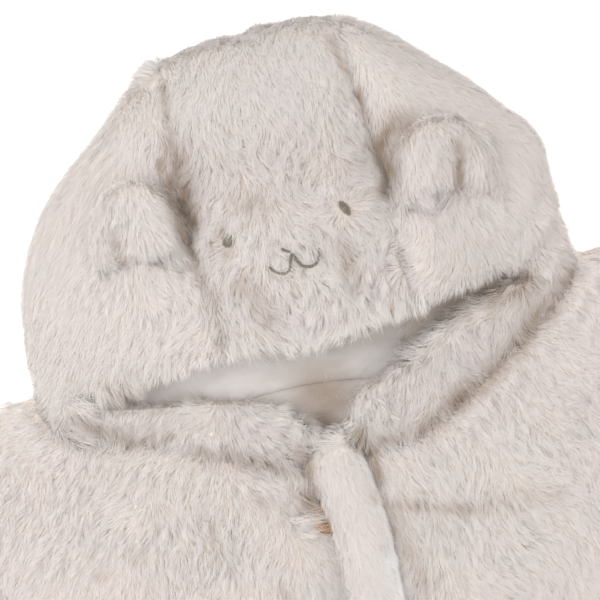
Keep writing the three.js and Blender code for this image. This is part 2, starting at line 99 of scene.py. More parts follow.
def smooth(value: np.ndarray, low: float, high: float) -> np.ndarray:
    """A soft step from 0 at low to 1 at high."""
    t = np.clip((value - low) / (high - low), 0.0, 1.0)
    return t * t * (3 - 2 * t)


def unit(vectors: np.ndarray) -> np.ndarray:
    """The vectors at length one."""
    return vectors / np.maximum(np.linalg.norm(vectors, axis=-1, keepdims=True), 1e-9)


def scatter(cells: np.ndarray, salt: float) -> np.ndarray:
    """A steady random number from 0 to 1 for each cell of a grid.

    Args:
        cells: whole numbers, three to a row.
        salt: another value gives other numbers for the same cells.

    Returns:
        One number for each row.
    """
    h = np.sin(cells @ np.array([127.1, 311.7, 74.7]) + salt * 17.31) * 43758.5453
    return h - np.floor(h)


def curve_through(knots: list, steps: int) -> np.ndarray:
    """Points along a smooth curve that passes through its knots.

    Args:
        knots: rows of coordinates.
        steps: how many points there are from each knot to the next.

    Returns:
        The points, with both ends.
    """
    k = np.asarray(knots, dtype=float)
    k = np.concatenate([2 * k[:1] - k[1:2], k, 2 * k[-1:] - k[-2:-1]])
    t = np.linspace(0, 1, steps, endpoint=False)[:, None]
    parts = []
    for a, b, c, d in zip(k[:-3], k[1:-2], k[2:-1], k[3:]):
        parts.append(0.5 * (2 * b + (c - a) * t + (2 * a - 5 * b + 4 * c - d) * t**2
                            + (3 * b - a - 3 * c + d) * t**3))
    return np.concatenate(parts + [k[-2:-1]])


def to_line(points: np.ndarray, start: tuple, end: tuple) -> tuple:
    """How close each point is to a line over the plan, how far along it, and the way to it.

    Args:
        points: rows of x, y and z.
        start: where the line starts, across and along from the brow line.
        end: where it ends.

    Returns:
        The distance, the share of the way from start to end, and rows of x, y and 0 that point to the line.
    """
    a = np.array([start[0], start[1] + BROW])
    run = np.array([end[0], end[1] + BROW]) - a
    share = np.clip(((points[:, :2] - a) @ run) / max(run @ run, 1e-12), 0, 1)
    way = a + share[:, None] * run - points[:, :2]
    return np.linalg.norm(way, axis=1), share, np.concatenate([way, np.zeros((len(way), 1))], axis=1)


def new_object(name: str, mesh: bpy.types.Mesh) -> bpy.types.Object:
    """An object for a mesh, linked into the scene.

    Args:
        name: what the object is called.
        mesh: its mesh.

    Returns:
        The object.
    """
    obj = bpy.data.objects.new(name, mesh)
    bpy.context.scene.collection.objects.link(obj)
    return obj


def mesh_from(name: str, points: np.ndarray, faces: np.ndarray) -> bpy.types.Mesh:
    """A mesh from faces that all have the same number of corners.

    Args:
        name: what the mesh is called.
        points: rows of x, y and z.
        faces: the corners of each face, as rows of point numbers.

    Returns:
        The mesh, shaded smooth.
    """
    mesh = bpy.data.meshes.new(name)
    count, sides = faces.shape
    mesh.vertices.add(len(points))
    mesh.vertices.foreach_set("co", points.astype(np.float32).ravel())
    mesh.loops.add(count * sides)
    mesh.loops.foreach_set("vertex_index", faces.astype(np.int32).ravel())
    mesh.polygons.add(count)
    mesh.polygons.foreach_set("loop_start", np.arange(0, count * sides, sides, dtype=np.int32))
    mesh.polygons.foreach_set("use_smooth", np.ones(count, dtype=bool))
    mesh.update(calc_edges=True)
    mesh.validate()
    return mesh


def arrays_of(mesh: bpy.types.Mesh) -> tuple:
    """The points and the vertex normals of a mesh, as arrays.

    Args:
        mesh: the mesh to read.

    Returns:
        The points, and the normals there.
    """
    points = np.empty(len(mesh.vertices) * 3, dtype=np.float32)
    normals = np.empty(len(mesh.vertices) * 3, dtype=np.float32)
    mesh.vertices.foreach_get("co", points)
    mesh.vertices.foreach_get("normal", normals)
    return points.reshape(-1, 3).astype(float), normals.reshape(-1, 3).astype(float)


def move_points(mesh: bpy.types.Mesh, points: np.ndarray) -> None:
    """Moves the points of a mesh to new places."""
    mesh.vertices.foreach_set("co", points.astype(np.float32).ravel())
    mesh.update()


def write_tint(mesh: bpy.types.Mesh, colours: np.ndarray) -> None:
    """Writes one tint for each point of a mesh, as the colour attribute that the finishes read.

    Args:
        mesh: the mesh to tint.
        colours: rows of red, green and blue, from 0 to 1.
    """
    values = np.ones((len(colours), 4), dtype=np.float32)
    values[:, :3] = np.clip(colours, 0, 1)
    layer = mesh.color_attributes.new("tint", "FLOAT_COLOR", "POINT")
    layer.data.foreach_set("color", values.ravel())


# ---- finishes --------------------------------------------------------------------------------------------


def fresh_material(name: str) -> tuple[bpy.types.Material, bpy.types.NodeTree, bpy.types.Node]:
    """An empty node material with a Principled shader on its output.

    Args:
        name: what the material is called.

    Returns:
        The material, its nodes and the shader.
    """
    material = bpy.data.materials.new(name)
    material.use_nodes = True
    tree = material.node_tree
    tree.nodes.clear()
    out = tree.nodes.new("ShaderNodeOutputMaterial")
    shader = tree.nodes.new("ShaderNodeBsdfPrincipled")
    tree.links.new(shader.outputs["BSDF"], out.inputs["Surface"])
    return material, tree, shader


def noise(tree: bpy.types.NodeTree, scale: float, detail: float = 3.0,
          stretch: tuple = (1, 1, 1)) -> bpy.types.Node:
    """A noise texture over the piece's own coordinates.

    Args:
        tree: the material's nodes.
        scale: how many waves there are to a metre.
        detail: how many finer layers it has.
        stretch: how the coordinates are scaled before it.

    Returns:
        The noise node.
    """
    where = tree.nodes.new("ShaderNodeTexCoord")
    mapping = tree.nodes.new("ShaderNodeMapping")
    mapping.inputs["Scale"].default_value = stretch
    texture = tree.nodes.new("ShaderNodeTexNoise")
    texture.inputs["Scale"].default_value = scale
    texture.inputs["Detail"].default_value = detail
    tree.links.new(where.outputs["Object"], mapping.inputs["Vector"])
    tree.links.new(mapping.outputs["Vector"], texture.inputs["Vector"])
    return texture


def ramp(tree: bpy.types.NodeTree, source: bpy.types.NodeSocket, stops: list) -> bpy.types.Node:
    """A colour ramp over a value.

    Args:
        tree: the material's nodes.
        source: the value.
        stops: pairs of a position and a colour, from low to high.

    Returns:
        The ramp.
    """
    node = tree.nodes.new("ShaderNodeValToRGB")
    elements = node.color_ramp.elements
    while len(elements) < len(stops):
        elements.new(0.5)
    for element, (position, colour) in zip(elements, stops):
        element.position = position
        element.color = (*colour, 1.0)
    tree.links.new(source, node.inputs["Fac"])
    return node


def tinted(tree: bpy.types.NodeTree, colour: bpy.types.NodeSocket) -> bpy.types.NodeSocket:
    """A colour multiplied by the tint that is written on the piece's own vertices, which carries painted
    shade and painted light.

    Args:
        tree: the material's nodes.
        colour: the colour before the tint.

    Returns:
        The tinted colour.
    """
    tint = tree.nodes.new("ShaderNodeVertexColor")
    tint.layer_name = "tint"
    mix = tree.nodes.new("ShaderNodeMixRGB")
    mix.blend_type = "MULTIPLY"
    mix.inputs["Fac"].default_value = 1.0
    tree.links.new(colour, mix.inputs["Color1"])
    tree.links.new(tint.outputs["Color"], mix.inputs["Color2"])
    return mix.outputs["Color"]


def bump(tree: bpy.types.NodeTree, height: bpy.types.NodeSocket, strength: float,
         depth: float) -> bpy.types.Node:
    """A bump node that raises a surface by a height map.

    Args:
        tree: the material's nodes.
        height: the map.
        strength: how much of the bump shows, from 0 to 1.
        depth: how high the map's full range stands.

    Returns:
        The bump node.
    """
    node = tree.nodes.new("ShaderNodeBump")
    node.inputs["Strength"].default_value = strength
    node.inputs["Distance"].default_value = depth
    tree.links.new(height, node.inputs["Height"])
    return node


@dataclass(frozen=True)
class FurFinish:
    """The pile: each blade's own tint, with a slow mottling from rose to cream over the cloth."""

    name: str = "cream_pile"
    rose: tuple = (0.985, 0.965, 0.962)
    cream: tuple = (0.975, 0.967, 0.952)
    roughness: float = 0.85
    sheen: float = 0.2
    glow: float = 0.45

    def make(self) -> bpy.types.Material:
        """The material of the blades, which let some of the light through.

        Returns:
            The material.
        """
        material, tree, shader = fresh_material(self.name)
        patches = noise(tree, 34.0, 3.0)
        mottle = ramp(tree, patches.outputs["Fac"], [(0.36, self.rose), (0.64, self.cream)])
        colour = tinted(tree, mottle.outputs["Color"])
        tree.links.new(colour, shader.inputs["Base Color"])
        shader.inputs["Roughness"].default_value = self.roughness
        shader.inputs["Specular IOR Level"].default_value = 0.15
        shader.inputs["Sheen Weight"].default_value = self.sheen
        shader.inputs["Sheen Roughness"].default_value = 0.5
        through = tree.nodes.new("ShaderNodeBsdfTranslucent")
        tree.links.new(colour, through.inputs["Color"])
        both = tree.nodes.new("ShaderNodeMixShader")
        both.inputs["Fac"].default_value = self.glow
        tree.links.new(shader.outputs["BSDF"], both.inputs[1])
        tree.links.new(through.outputs["BSDF"], both.inputs[2])
        out = next(node for node in tree.nodes if node.type == "OUTPUT_MATERIAL")
        tree.links.new(both.outputs["Shader"], out.inputs["Surface"])
        return material


@dataclass(frozen=True)
class BackingFinish:
    """The knitted ground that the pile stands in, which only shows as depth between the blades."""

    name: str = "fur_backing"
    light: tuple = (0.84, 0.80, 0.77)
    dark: tuple = (0.75, 0.70, 0.66)

    def make(self) -> bpy.types.Material:
        """The material of the backing cloth.

        Returns:
            The material.
        """
        material, tree, shader = fresh_material(self.name)
        grain = noise(tree, 900.0, 4.0)
        tone = ramp(tree, grain.outputs["Fac"], [(0.35, self.dark), (0.65, self.light)])
        tree.links.new(tinted(tree, tone.outputs["Color"]), shader.inputs["Base Color"])
        raised = bump(tree, grain.outputs["Fac"], 0.6, 0.8 * MM)
        tree.links.new(raised.outputs["Normal"], shader.inputs["Normal"])
        shader.inputs["Roughness"].default_value = 0.95
        return material


@dataclass(frozen=True)
class PlushFinish:
    """Short white plush: a fine nap, soft patches brushed either way, and a tint of painted shade where it
    lies deep.
    """

    name: str = "white_plush"
    light: tuple = (0.91, 0.875, 0.855)
    dark: tuple = (0.825, 0.78, 0.75)

    def make(self) -> bpy.types.Material:
        """The material of the linings.

        Returns:
            The material.
        """
        material, tree, shader = fresh_material(self.name)
        brushed = noise(tree, 60.0, 3.0, (1.0, 2.2, 1.0))
        tone = ramp(tree, brushed.outputs["Fac"], [(0.3, self.dark), (0.62, self.light)])
        tree.links.new(tinted(tree, tone.outputs["Color"]), shader.inputs["Base Color"])
        nap = noise(tree, 1700.0, 3.0)
        raised = bump(tree, nap.outputs["Fac"], 0.4, 0.4 * MM)
        tree.links.new(raised.outputs["Normal"], shader.inputs["Normal"])
        shader.inputs["Roughness"].default_value = 0.85
        shader.inputs["Sheen Weight"].default_value = 0.3
        shader.inputs["Sheen Roughness"].default_value = 0.4
        return material


@dataclass(frozen=True)
class ThreadFinish:
    """Embroidery floss: a soft shine with a fine twist along each stitch."""

    name: str = "taupe_floss"
    light: tuple = (0.25, 0.22, 0.175)
    dark: tuple = (0.11, 0.093, 0.072)

    def make(self) -> bpy.types.Material:
        """The material of the stitched face.

        Returns:
            The material.
        """
        material, tree, shader = fresh_material(self.name)
        twist = noise(tree, 2600.0, 2.0, (1.0, 0.4, 1.0))
        tone = ramp(tree, twist.outputs["Fac"], [(0.3, self.dark), (0.7, self.light)])
        tree.links.new(tone.outputs["Color"], shader.inputs["Base Color"])
        raised = bump(tree, twist.outputs["Fac"], 0.4, 0.15 * MM)
        tree.links.new(raised.outputs["Normal"], shader.inputs["Normal"])
        shader.inputs["Roughness"].default_value = 0.42
        shader.inputs["Anisotropic"].default_value = 0.4
        return material


@dataclass(frozen=True)
class WoodFinish:
    """Amber brown wood with a thin lacquer."""

    name: str = "amber_wood"
    light: tuple = (0.38, 0.20, 0.055)
    dark: tuple = (0.16, 0.075, 0.024)

    def make(self) -> bpy.types.Material:
        """The material of the buttons.

        Returns:
            The material.
        """
        material, tree, shader = fresh_material(self.name)
        grain = noise(tree, 220.0, 5.0, (1.0, 9.0, 1.0))
        tone = ramp(tree, grain.outputs["Fac"], [(0.35, self.dark), (0.7, self.light)])
        tree.links.new(tone.outputs["Color"], shader.inputs["Base Color"])
        raised = bump(tree, grain.outputs["Fac"], 0.2, 0.1 * MM)
        tree.links.new(raised.outputs["Normal"], shader.inputs["Normal"])
        shader.inputs["Roughness"].default_value = 0.32
        shader.inputs["Coat Weight"].default_value = 0.4
        return material


@dataclass(frozen=True)
class SurfaceFinish:
    """The plain pale surface under the garment."""

    name: str = "pale_surface"
    tone: tuple = (0.97, 0.97, 0.97)
    glow: float = 0.4

    def make(self) -> bpy.types.Material:
        """The floor's material.

        Returns:
            The material.
        """
        material, _, shader = fresh_material(self.name)
        shader.inputs["Base Color"].default_value = (*self.tone, 1.0)
        shader.inputs["Emission Color"].default_value = (1.0, 1.0, 1.0, 1.0)
        shader.inputs["Emission Strength"].default_value = self.glow
        shader.inputs["Roughness"].default_value = 1.0
        shader.inputs["Specular IOR Level"].default_value = 0.0
        return material


# ---- how the pile lies -----------------------------------------------------------------------------------


class Lay(Enum):
    """The way a piece's pile was brushed, seen from the front."""

    HOOD = "down from the crown, outward at the sides, parted round the face"
    BODY = "down and away from the neck"
    STRAIGHT = "straight down to the hem"
    EAR = "down to the ear's root"


@dataclass(frozen=True)
class Parting:
    """A line that the pile is brushed away from, and kept short beside: a stitched mark or a seam.

    Args:
        start: where it starts, across from the middle and along from the brow line.
        end: where it ends, the same place for a round mark.
        bare: how far out the pile is kept short.
        sweep: how far out the pile is still turned away from the line.
        pull: how strongly it is turned close by, from 0 to 1.
        left: the share of its length that the pile keeps beside the line.
    """

    start: tuple
    end: tuple
    bare: float
    sweep: float
    pull: float = 0.8
    left: float = 0.3


@dataclass(frozen=True)
class PaintedLightLine:
    """A line along which a tone multiplies the colour: painted shade, painted light or another tone.

    Args:
        start: where it starts, across from the middle and along from the brow line.
        end: where it ends.
        reach: how far out the shade goes.
        depth: how strong it is, from 0 to 1.
        tone: what it multiplies the colour by, in full.
    """

    start: tuple
    end: tuple
    reach: float
    depth: float
    tone: tuple = (0.52, 0.40, 0.29)


@dataclass(frozen=True)
class Brush:
    """A place where the pile was brushed another way.

    Args:
        piece: how the names of the pieces start that it is on.
        x: across, from the middle.
        y: along, from the brow line.
        reach: how far out it goes.
        turn: how far the pile is turned from straight down, towards the right.
    """

    piece: str
    x: float
    y: float
    reach: float
    turn: float


@dataclass(frozen=True)
class Cover:
    """A place whose blades grow longer and fall one way, over what lies there.

    Args:
        piece: the piece that they grow on.
        x: across, from the middle.
        y: along, from the brow line.
        reach: how far off its blades may stand.
        longer: how much longer than usual they are.
        way: the direction that they fall in.
        lift: how many degrees steeper they stand.
    """

    piece: str
    x: float
    y: float
    reach: float
    longer: float
    way: tuple
    lift: float


@dataclass
class Pile:
    """How the fur of a piece stands. Lengths are in metres, angles in degrees from straight up.

    Args:
        lay: which way it was brushed.
        length: how long a blade is.
        width: how wide a blade is at its bend.
        depth: how far the backing is set in under the solid's face, to leave room for the pile.
        rise: how far a blade leans below its bend.
        fall: how far it leans above its bend.
        close: blades to the square metre over the hood and the chest.
        far: blades to the square metre far off.
        wander: how far blades turn from the lay, in radians.
        clump: how far apart clumps are.
        tuft: how far apart the small tufts in them are.
        gather: how strongly tips draw together to their tuft.
        soft: how much of the light from above the shading takes, for a softer look.
        edge: the share of the depth that is left on the rim of the hood.
        edge_lift: how many degrees steeper blades stand on a steep rim.
        root: the colour at the foot of a blade, darker and warmer: partly the fur's own colour and partly
            painted shade deep in the pile.
        middle: the colour at its bend.
        tip: the colour at its tip.
        most: the most blades that a piece has.
    """

    lay: Lay
    length: float = 10.5 * MM
    width: float = 0.24 * MM
    depth: float = 4.8 * MM
    rise: float = 42.0
    fall: float = 80.0
    close: float = 3.7e6
    far: float = 0.13e6
    wander: float = 0.5
    clump: float = 4.2 * MM
    tuft: float = 1.3 * MM
    gather: float = 0.48
    soft: float = 0.15
    edge: float = 1.0
    edge_lift: float = 0.0
    root: tuple = (0.90, 0.845, 0.80)
    middle: tuple = (0.95, 0.925, 0.91)
    tip: tuple = (0.965, 0.95, 0.945)
    most: int = 82000


def calm_at(lay: Lay, x: np.ndarray, y: np.ndarray) -> np.ndarray:
    """How smooth the pile lies, from 0 where it is tousled to 1 where it is sleek.

    Args:
        lay: which way the piece was brushed.
        x: places across, in metres from the middle.
        y: places along, in metres from the brow line.

    Returns:
        One number for each place.
    """
    if lay is Lay.HOOD:
        sides = smooth(np.abs(x), 42 * MM, 70 * MM)
        crown = 0.75 * smooth(y, 75 * MM, 120 * MM)
        rim = smooth(y, -25 * MM, 40 * MM)
        return np.maximum(sides * blend(0.3, 1.0, rim), crown)
    if lay is Lay.EAR:
        return np.full_like(x, 0.6)
    if lay is Lay.STRAIGHT:
        return np.full_like(x, 0.7)
    return 0.25 + 0.2 * np.sin(x * 31 + 1) * np.sin(y * 43)


def flow(lay: Lay, x: np.ndarray, y: np.ndarray) -> np.ndarray:
    """The direction that the pile is brushed in, over the plan.

    Args:
        lay: which way the piece was brushed.
        x: places across, in metres from the middle.
        y: places along, in metres from the brow line.

    Returns:
        Rows of x, y and z, of about length one, with a little pull downwards.
    """
    down = np.stack([np.zeros_like(x), -np.ones_like(y)], axis=1)
    if lay is Lay.HOOD:
        side = smooth(np.abs(x), 45 * MM, 110 * MM)[:, None]
        lean = np.stack([np.sign(x) * 0.55, np.full_like(x, -0.85)], axis=1)
        plan = down * (1 - side) + lean * side
    elif lay is Lay.BODY:
        away = unit(np.stack([x, y + 10 * MM], axis=1))
        plan = 0.6 * away + 0.4 * down
    else:
        plan = down
    plan = unit(plan)
    return np.concatenate([plan, np.full((len(x), 1), DOWNWARD)], axis=1)


@dataclass
class Skin:
    """The backing of a fur piece as arrays.

    Args:
        corners: the corners of its triangles.
        normals: the smooth normals at them.
    """

    corners: np.ndarray
    normals: np.ndarray

    @classmethod
    def of(cls, mesh: bpy.types.Mesh, keep: Callable) -> "Skin":
        """The part of a mesh that bears fur.

        Args:
            mesh: the backing.
            keep: tells which triangles to keep, from their corners, their corners' normals and their faces.

        Returns:
            The kept triangles.
        """
        mesh.calc_loop_triangles()
        points, normals = arrays_of(mesh)
        corners = np.array([t.vertices[:] for t in mesh.loop_triangles])
        faces = np.array([t.polygon_index for t in mesh.loop_triangles])
        kept = corners[keep(points[corners], normals[corners], faces)]
        return cls(points[kept], normals[kept])


@dataclass
class Roots:
    """Where the blades of a piece stand, and what each of them keeps to: a row for each blade in every field.

    Args:
        at: the roots.
        up: the normals there.
        wider: how much wider than usual each blade is.
        clump: the middle of its clump.
        clump_cell: the grid cell that names its clump.
        tuft: the middle of its tuft.
        tuft_cell: the grid cell that names its tuft.
        calm: how sleek the pile lies there, from 0 to 1.
    """

    at: np.ndarray
    up: np.ndarray
    wider: np.ndarray
    clump: np.ndarray
    clump_cell: np.ndarray
    tuft: np.ndarray
    tuft_cell: np.ndarray
    calm: np.ndarray

    @property
    def loose(self) -> np.ndarray:
        """How tousled the pile is at each root, from 0 to 1."""
        return 1 - self.calm


@dataclass
class FurGrower:
    """Grows a pile out of a skin as tapered, bent blades in one mesh.

    Args:
        seed: starts the source of chance.
        shaded: the painted shade that close pile lays on a cloth, as what it multiplies the cloth's colour
            by.
        brushes: the places that were brushed another way.
        partings: the lines that the pile is brushed apart from.
        painted_light: the lines along which painted shade, painted light or another tone lies.
        covers: the places where the pile falls over something.
    """

    seed: int = 7
    shaded: tuple = (0.92, 0.87, 0.82)
    brushes: list = field(default_factory=list)
    partings: list = field(default_factory=list)
    painted_light: list = field(default_factory=list)
    covers: list = field(default_factory=list)

    def wave(self, points: np.ndarray, salt: int, shortest: float, longest: float) -> np.ndarray:
        """A slow swing from about -1 to 1 over space.

        Args:
            points: rows of x, y and z.
            salt: another value gives another pattern.
            shortest: the finest wavelength, in metres.
            longest: the coarsest wavelength, in metres.

        Returns:
            One number for each point.
        """
        rng = np.random.default_rng(self.seed * 100 + salt)
        total = np.zeros(len(points))
        for size in np.geomspace(longest, shortest, 5):
            turn = unit(rng.normal(size=(1, 3)))[0] * (2 * math.pi / size)
            total += np.sin(points @ turn + rng.uniform(0, 2 * math.pi)) * rng.uniform(0.6, 1.0)
        return total / 2.4

    def take_root(self, skin: Skin, pile: Pile, rng: np.random.Generator) -> Roots:
        """Random roots over the skin, closest where the garment is looked at from near by.

        Args:
            skin: the backing to stand on.
            pile: how dense it is.
            rng: the seeded source of chance.

        Returns:
            The roots.
        """
        a, b, c = skin.corners[:, 0], skin.corners[:, 1], skin.corners[:, 2]
        area = np.linalg.norm(np.cross(b - a, c - a), axis=1) / 2
        middle = skin.corners.mean(axis=1)
        cumulative = np.cumsum(area * self.density(middle, pile))
        count = int(min(cumulative[-1], pile.most))
        pick = np.searchsorted(cumulative, rng.random(count) * cumulative[-1])
        u, v = rng.random(count), rng.random(count)
        flip = u + v > 1
        u, v = np.where(flip, 1 - u, u), np.where(flip, 1 - v, v)
        weights = np.stack([1 - u - v, u, v], axis=1)[:, :, None]
        at = (skin.corners[pick] * weights).sum(axis=1)
        up = unit((skin.normals[pick] * weights).sum(axis=1))
        wider = np.minimum(np.sqrt(pile.close / self.density(at, pile)), WIDEST)
        calm = calm_at(pile.lay, at[:, 0], at[:, 1] - BROW)
        return Roots(at, up, wider, *self.clumps(at, pile.clump), *self.clumps(at, pile.tuft), calm)

    def density(self, points: np.ndarray, pile: Pile) -> np.ndarray:
        """Blades to the square metre: close over the hood and the chest, sparser and broader further off."""
        return blend(pile.far, pile.close, self.nearness(points))

    def nearness(self, points: np.ndarray) -> np.ndarray:
        """How near points are to the hood and the chest. Far off, the garment is only seen as a whole.

        Args:
            points: rows of x, y and z.

        Returns:
            1 over the hood and the chest, falling to 0 far off.
        """
        x, y = points[:, 0], points[:, 1] - BROW
        c, s = math.cos(TURN), math.sin(TURN)
        reach = np.maximum(np.abs(x * c - y * s), np.abs(x * s + y * c))
        return 1 - smooth(reach, CLOSE_SHARE * SHOWN_SPAN, SPARSE_SHARE * SHOWN_SPAN)

    def clumps(self, points: np.ndarray, size: float) -> tuple:
        """The clump that each root belongs to.

        Args:
            points: the roots.
            size: about how far apart clumps are.

        Returns:
            The middle of each root's clump, and the grid cell that names it.
        """
        home = np.floor(points / size)
        best = np.full(len(points), 1e9)
        centre = np.zeros_like(points)
        name = np.zeros_like(points)
        for step in np.ndindex(3, 3, 3):
            cell = home + (np.array(step) - 1)
            jitter = np.stack([scatter(cell, 1.0), scatter(cell, 2.0), scatter(cell, 3.0)], axis=1)
            spot = (cell + jitter) * size
            gap = ((spot - points) ** 2).sum(axis=1)
            nearer = gap < best
            best = np.where(nearer, gap, best)
            centre[nearer] = spot[nearer]
            name[nearer] = cell[nearer]
        return centre, name

    def grow(self, name: str, skin: Skin, pile: Pile, finish: bpy.types.Material,
             folds: tuple = ()) -> bpy.types.Object:
        """The pile of one piece as one object.

        Args:
            name: the new object's name.
            skin: the backing that it stands on.
            pile: how it stands.
            finish: its material.
            folds: the valleys that the pile closes over.

        Returns:
            The object, with its blades' tints in a colour attribute.
        """
        rng = np.random.default_rng(self.seed + sum(map(ord, name)))
        roots = self.take_root(skin, pile, rng)
        along, shorten, upright = self.comb(name, pile, roots, folds)
        along, across = self.ruffle(pile, roots, along, rng)
        points, roll = self.blades(pile, roots, along, across, shorten, upright, rng)
        count = len(points)
        pattern = np.array([0, 1, 2, 1, 3, 2])
        faces = ((np.arange(count) * 4)[:, None] + pattern).reshape(-1, 3)
        mesh = mesh_from(name, points.reshape(-1, 3), faces)
        mesh.materials.append(finish)
        self.tint(mesh, pile, roots, points.reshape(-1, 3), rng)
        shading = self.shading(pile, roots, points, along, across, roll)
        mesh.normals_split_custom_set_from_vertices(np.repeat(shading, 4, axis=0))
        log.info("%s: %d blades", name, count)
        return new_object(name, mesh)

    def comb(self, name: str, pile: Pile, roots: Roots, folds: tuple) -> tuple:
        """How the pile was brushed at each root.

        Args:
            name: the name of the pile's object, which brushes and covers are chosen by.
            pile: how it stands.
            roots: its roots.
            folds: the valleys that it closes over.

        Returns:
            The direction of each blade along the backing, the share of its length that it has, and how many
            degrees steeper than usual it stands.
        """
        at, up = roots.at, roots.up
        count = len(at)
        along = flow(pile.lay, at[:, 0], at[:, 1] - BROW)
        for brush in (place for place in self.brushes if name.startswith(place.piece)):
            far = np.hypot(at[:, 0] - brush.x, at[:, 1] - brush.y - BROW)
            share = BRUSH_HOLD * np.exp(-((far / brush.reach) ** 2))[:, None]
            way = np.array([[math.sin(brush.turn), -math.cos(brush.turn), DOWNWARD]])
            along = along * (1 - share) + way * share
        for fold in folds:
            far, _, way = to_line(at, fold.start, fold.end)
            share = np.exp(-((far / (fold.reach * 1.6)) ** 2))[:, None]
            along = unit(along) * (1 - FOLD_HOLD * share) + unit(way) * FOLD_HOLD * share
        shorten = np.ones(count)
        for mark in self.partings:
            far, _, way = to_line(at, mark.start, mark.end)
            share = (1 - smooth(far, mark.bare, mark.sweep))[:, None] * mark.pull
            along = unit(along) * (1 - share) - unit(way) * share
            shorten *= blend(mark.left, 1.0, smooth(far, mark.bare * 0.7, mark.bare * 1.8))
        upright = np.zeros(count)
        for place in (cover for cover in self.covers if name.startswith(cover.piece)):
            far = np.hypot(at[:, 0] - place.x, at[:, 1] - place.y - BROW)
            share = 1 - smooth(far, place.reach * 0.6, place.reach)
            way = unit(np.array([[*place.way, 0.0]]))
            along = unit(along) * (1 - COVER_HOLD * share[:, None]) + way * COVER_HOLD * share[:, None]
            shorten *= 1 + (place.longer - 1) * share
            upright += place.lift * share
        against = -(along[:, :2] * up[:, :2]).sum(axis=1)
        along[:, 2] += 1.5 * smooth(against, 0.3, 0.8)  # pile brushed against a slope goes up and over it
        return unit(along - up * (along * up).sum(axis=1, keepdims=True)), shorten, upright

    def ruffle(self, pile: Pile, roots: Roots, along: np.ndarray, rng: np.random.Generator) -> tuple:
        """Turns each blade a little from the way it was brushed, by swells, by clump, by tuft and by itself.

        Args:
            pile: how it stands.
            roots: its roots.
            along: the way it was brushed.
            rng: the seeded source of chance.

        Returns:
            The direction of each blade along the backing, and the direction across it.
        """
        loose = roots.loose
        across = np.cross(roots.up, along)
        swing = pile.wander * self.wave(roots.at, 1, 9 * MM, 60 * MM) * blend(0.35, 1.0, loose)
        swing += pile.wander * (scatter(roots.clump_cell, 4.0) - 0.5) * loose
        swing += (pile.wander * 0.7 * (scatter(roots.tuft_cell, 8.0) - 0.5) * loose
                  + rng.normal(0, 0.13, len(loose)))
        along = along * np.cos(swing)[:, None] + across * np.sin(swing)[:, None]
        return along, np.cross(roots.up, along)

    def blades(self, pile: Pile, roots: Roots, along: np.ndarray, across: np.ndarray, shorten: np.ndarray,
               upright: np.ndarray, rng: np.random.Generator) -> tuple:
        """The blades themselves: foot, both sides of the bend, and tip.

        Args:
            pile: how it stands.
            roots: its roots.
            along: the direction of each blade along the backing.
            across: the direction across it.
            shorten: the share of its length that each blade has.
            upright: how many degrees steeper than usual each blade stands.
            rng: the seeded source of chance.

        Returns:
            The four corners of each blade, and how far each is rolled about its length.
        """
        up, loose = roots.up, roots.loose
        count = len(up)
        length = pile.length * (0.85 + 0.3 * scatter(roots.clump_cell, 5.0) * loose)
        length = length * rng.uniform(0.8, 1.15, count) * shorten
        tousle = self.wave(roots.at, 2, 14 * MM, 80 * MM) * blend(0.4, 1.0, loose)
        stand = smooth(self.wave(roots.at, 4, 12 * MM, 45 * MM), 0.35, 1.1) * loose
        edge_lift = pile.edge_lift * (1 - smooth(up[:, 2], 0.1, 0.6))
        rise = np.radians(pile.rise + 14 * roots.calm + 8 * tousle - 22 * stand - upright - edge_lift
                          + rng.normal(0, 7, count))
        fall = np.radians(np.minimum(pile.fall + 4 * roots.calm + 6 * tousle - 26 * stand - edge_lift
                                     + rng.normal(0, 5 + 8 * stand, count), FLATTEST))

        def step(angle: np.ndarray, share: float) -> np.ndarray:
            """A stretch of each blade, leaning by an angle."""
            return (up * np.cos(angle)[:, None] + along * np.sin(angle)[:, None]) * (length * share)[:, None]

        foot = roots.at - up * ROOT_DEPTH
        bend = foot + step(rise, BEND_SHARE)
        tip = bend + step(fall, 1 - BEND_SHARE)
        hold = (pile.gather * loose * rng.uniform(0.6, 1.2, count))[:, None]
        for spot, share in ((roots.tuft, 1.0), (roots.clump, 0.35)):
            pull = spot - roots.at
            pull -= up * (pull * up).sum(axis=1, keepdims=True)
            bend += pull * hold * share * 0.4
            tip += pull * hold * share
        half = (pile.width / 2 * roots.wider * rng.uniform(0.75, 1.25, count))[:, None]
        roll = rng.normal(0, 1.0, count)[:, None] * blend(1.3, 0.35, smooth(up[:, 2:3], 0.2, 0.7))
        flat = unit(across + up * roll)
        points = np.stack([foot, bend - flat * half, bend + flat * half, tip], axis=1)
        points[:, :, 2] = np.maximum(points[:, :, 2], PILE_CLEARANCE)
        return points, roll

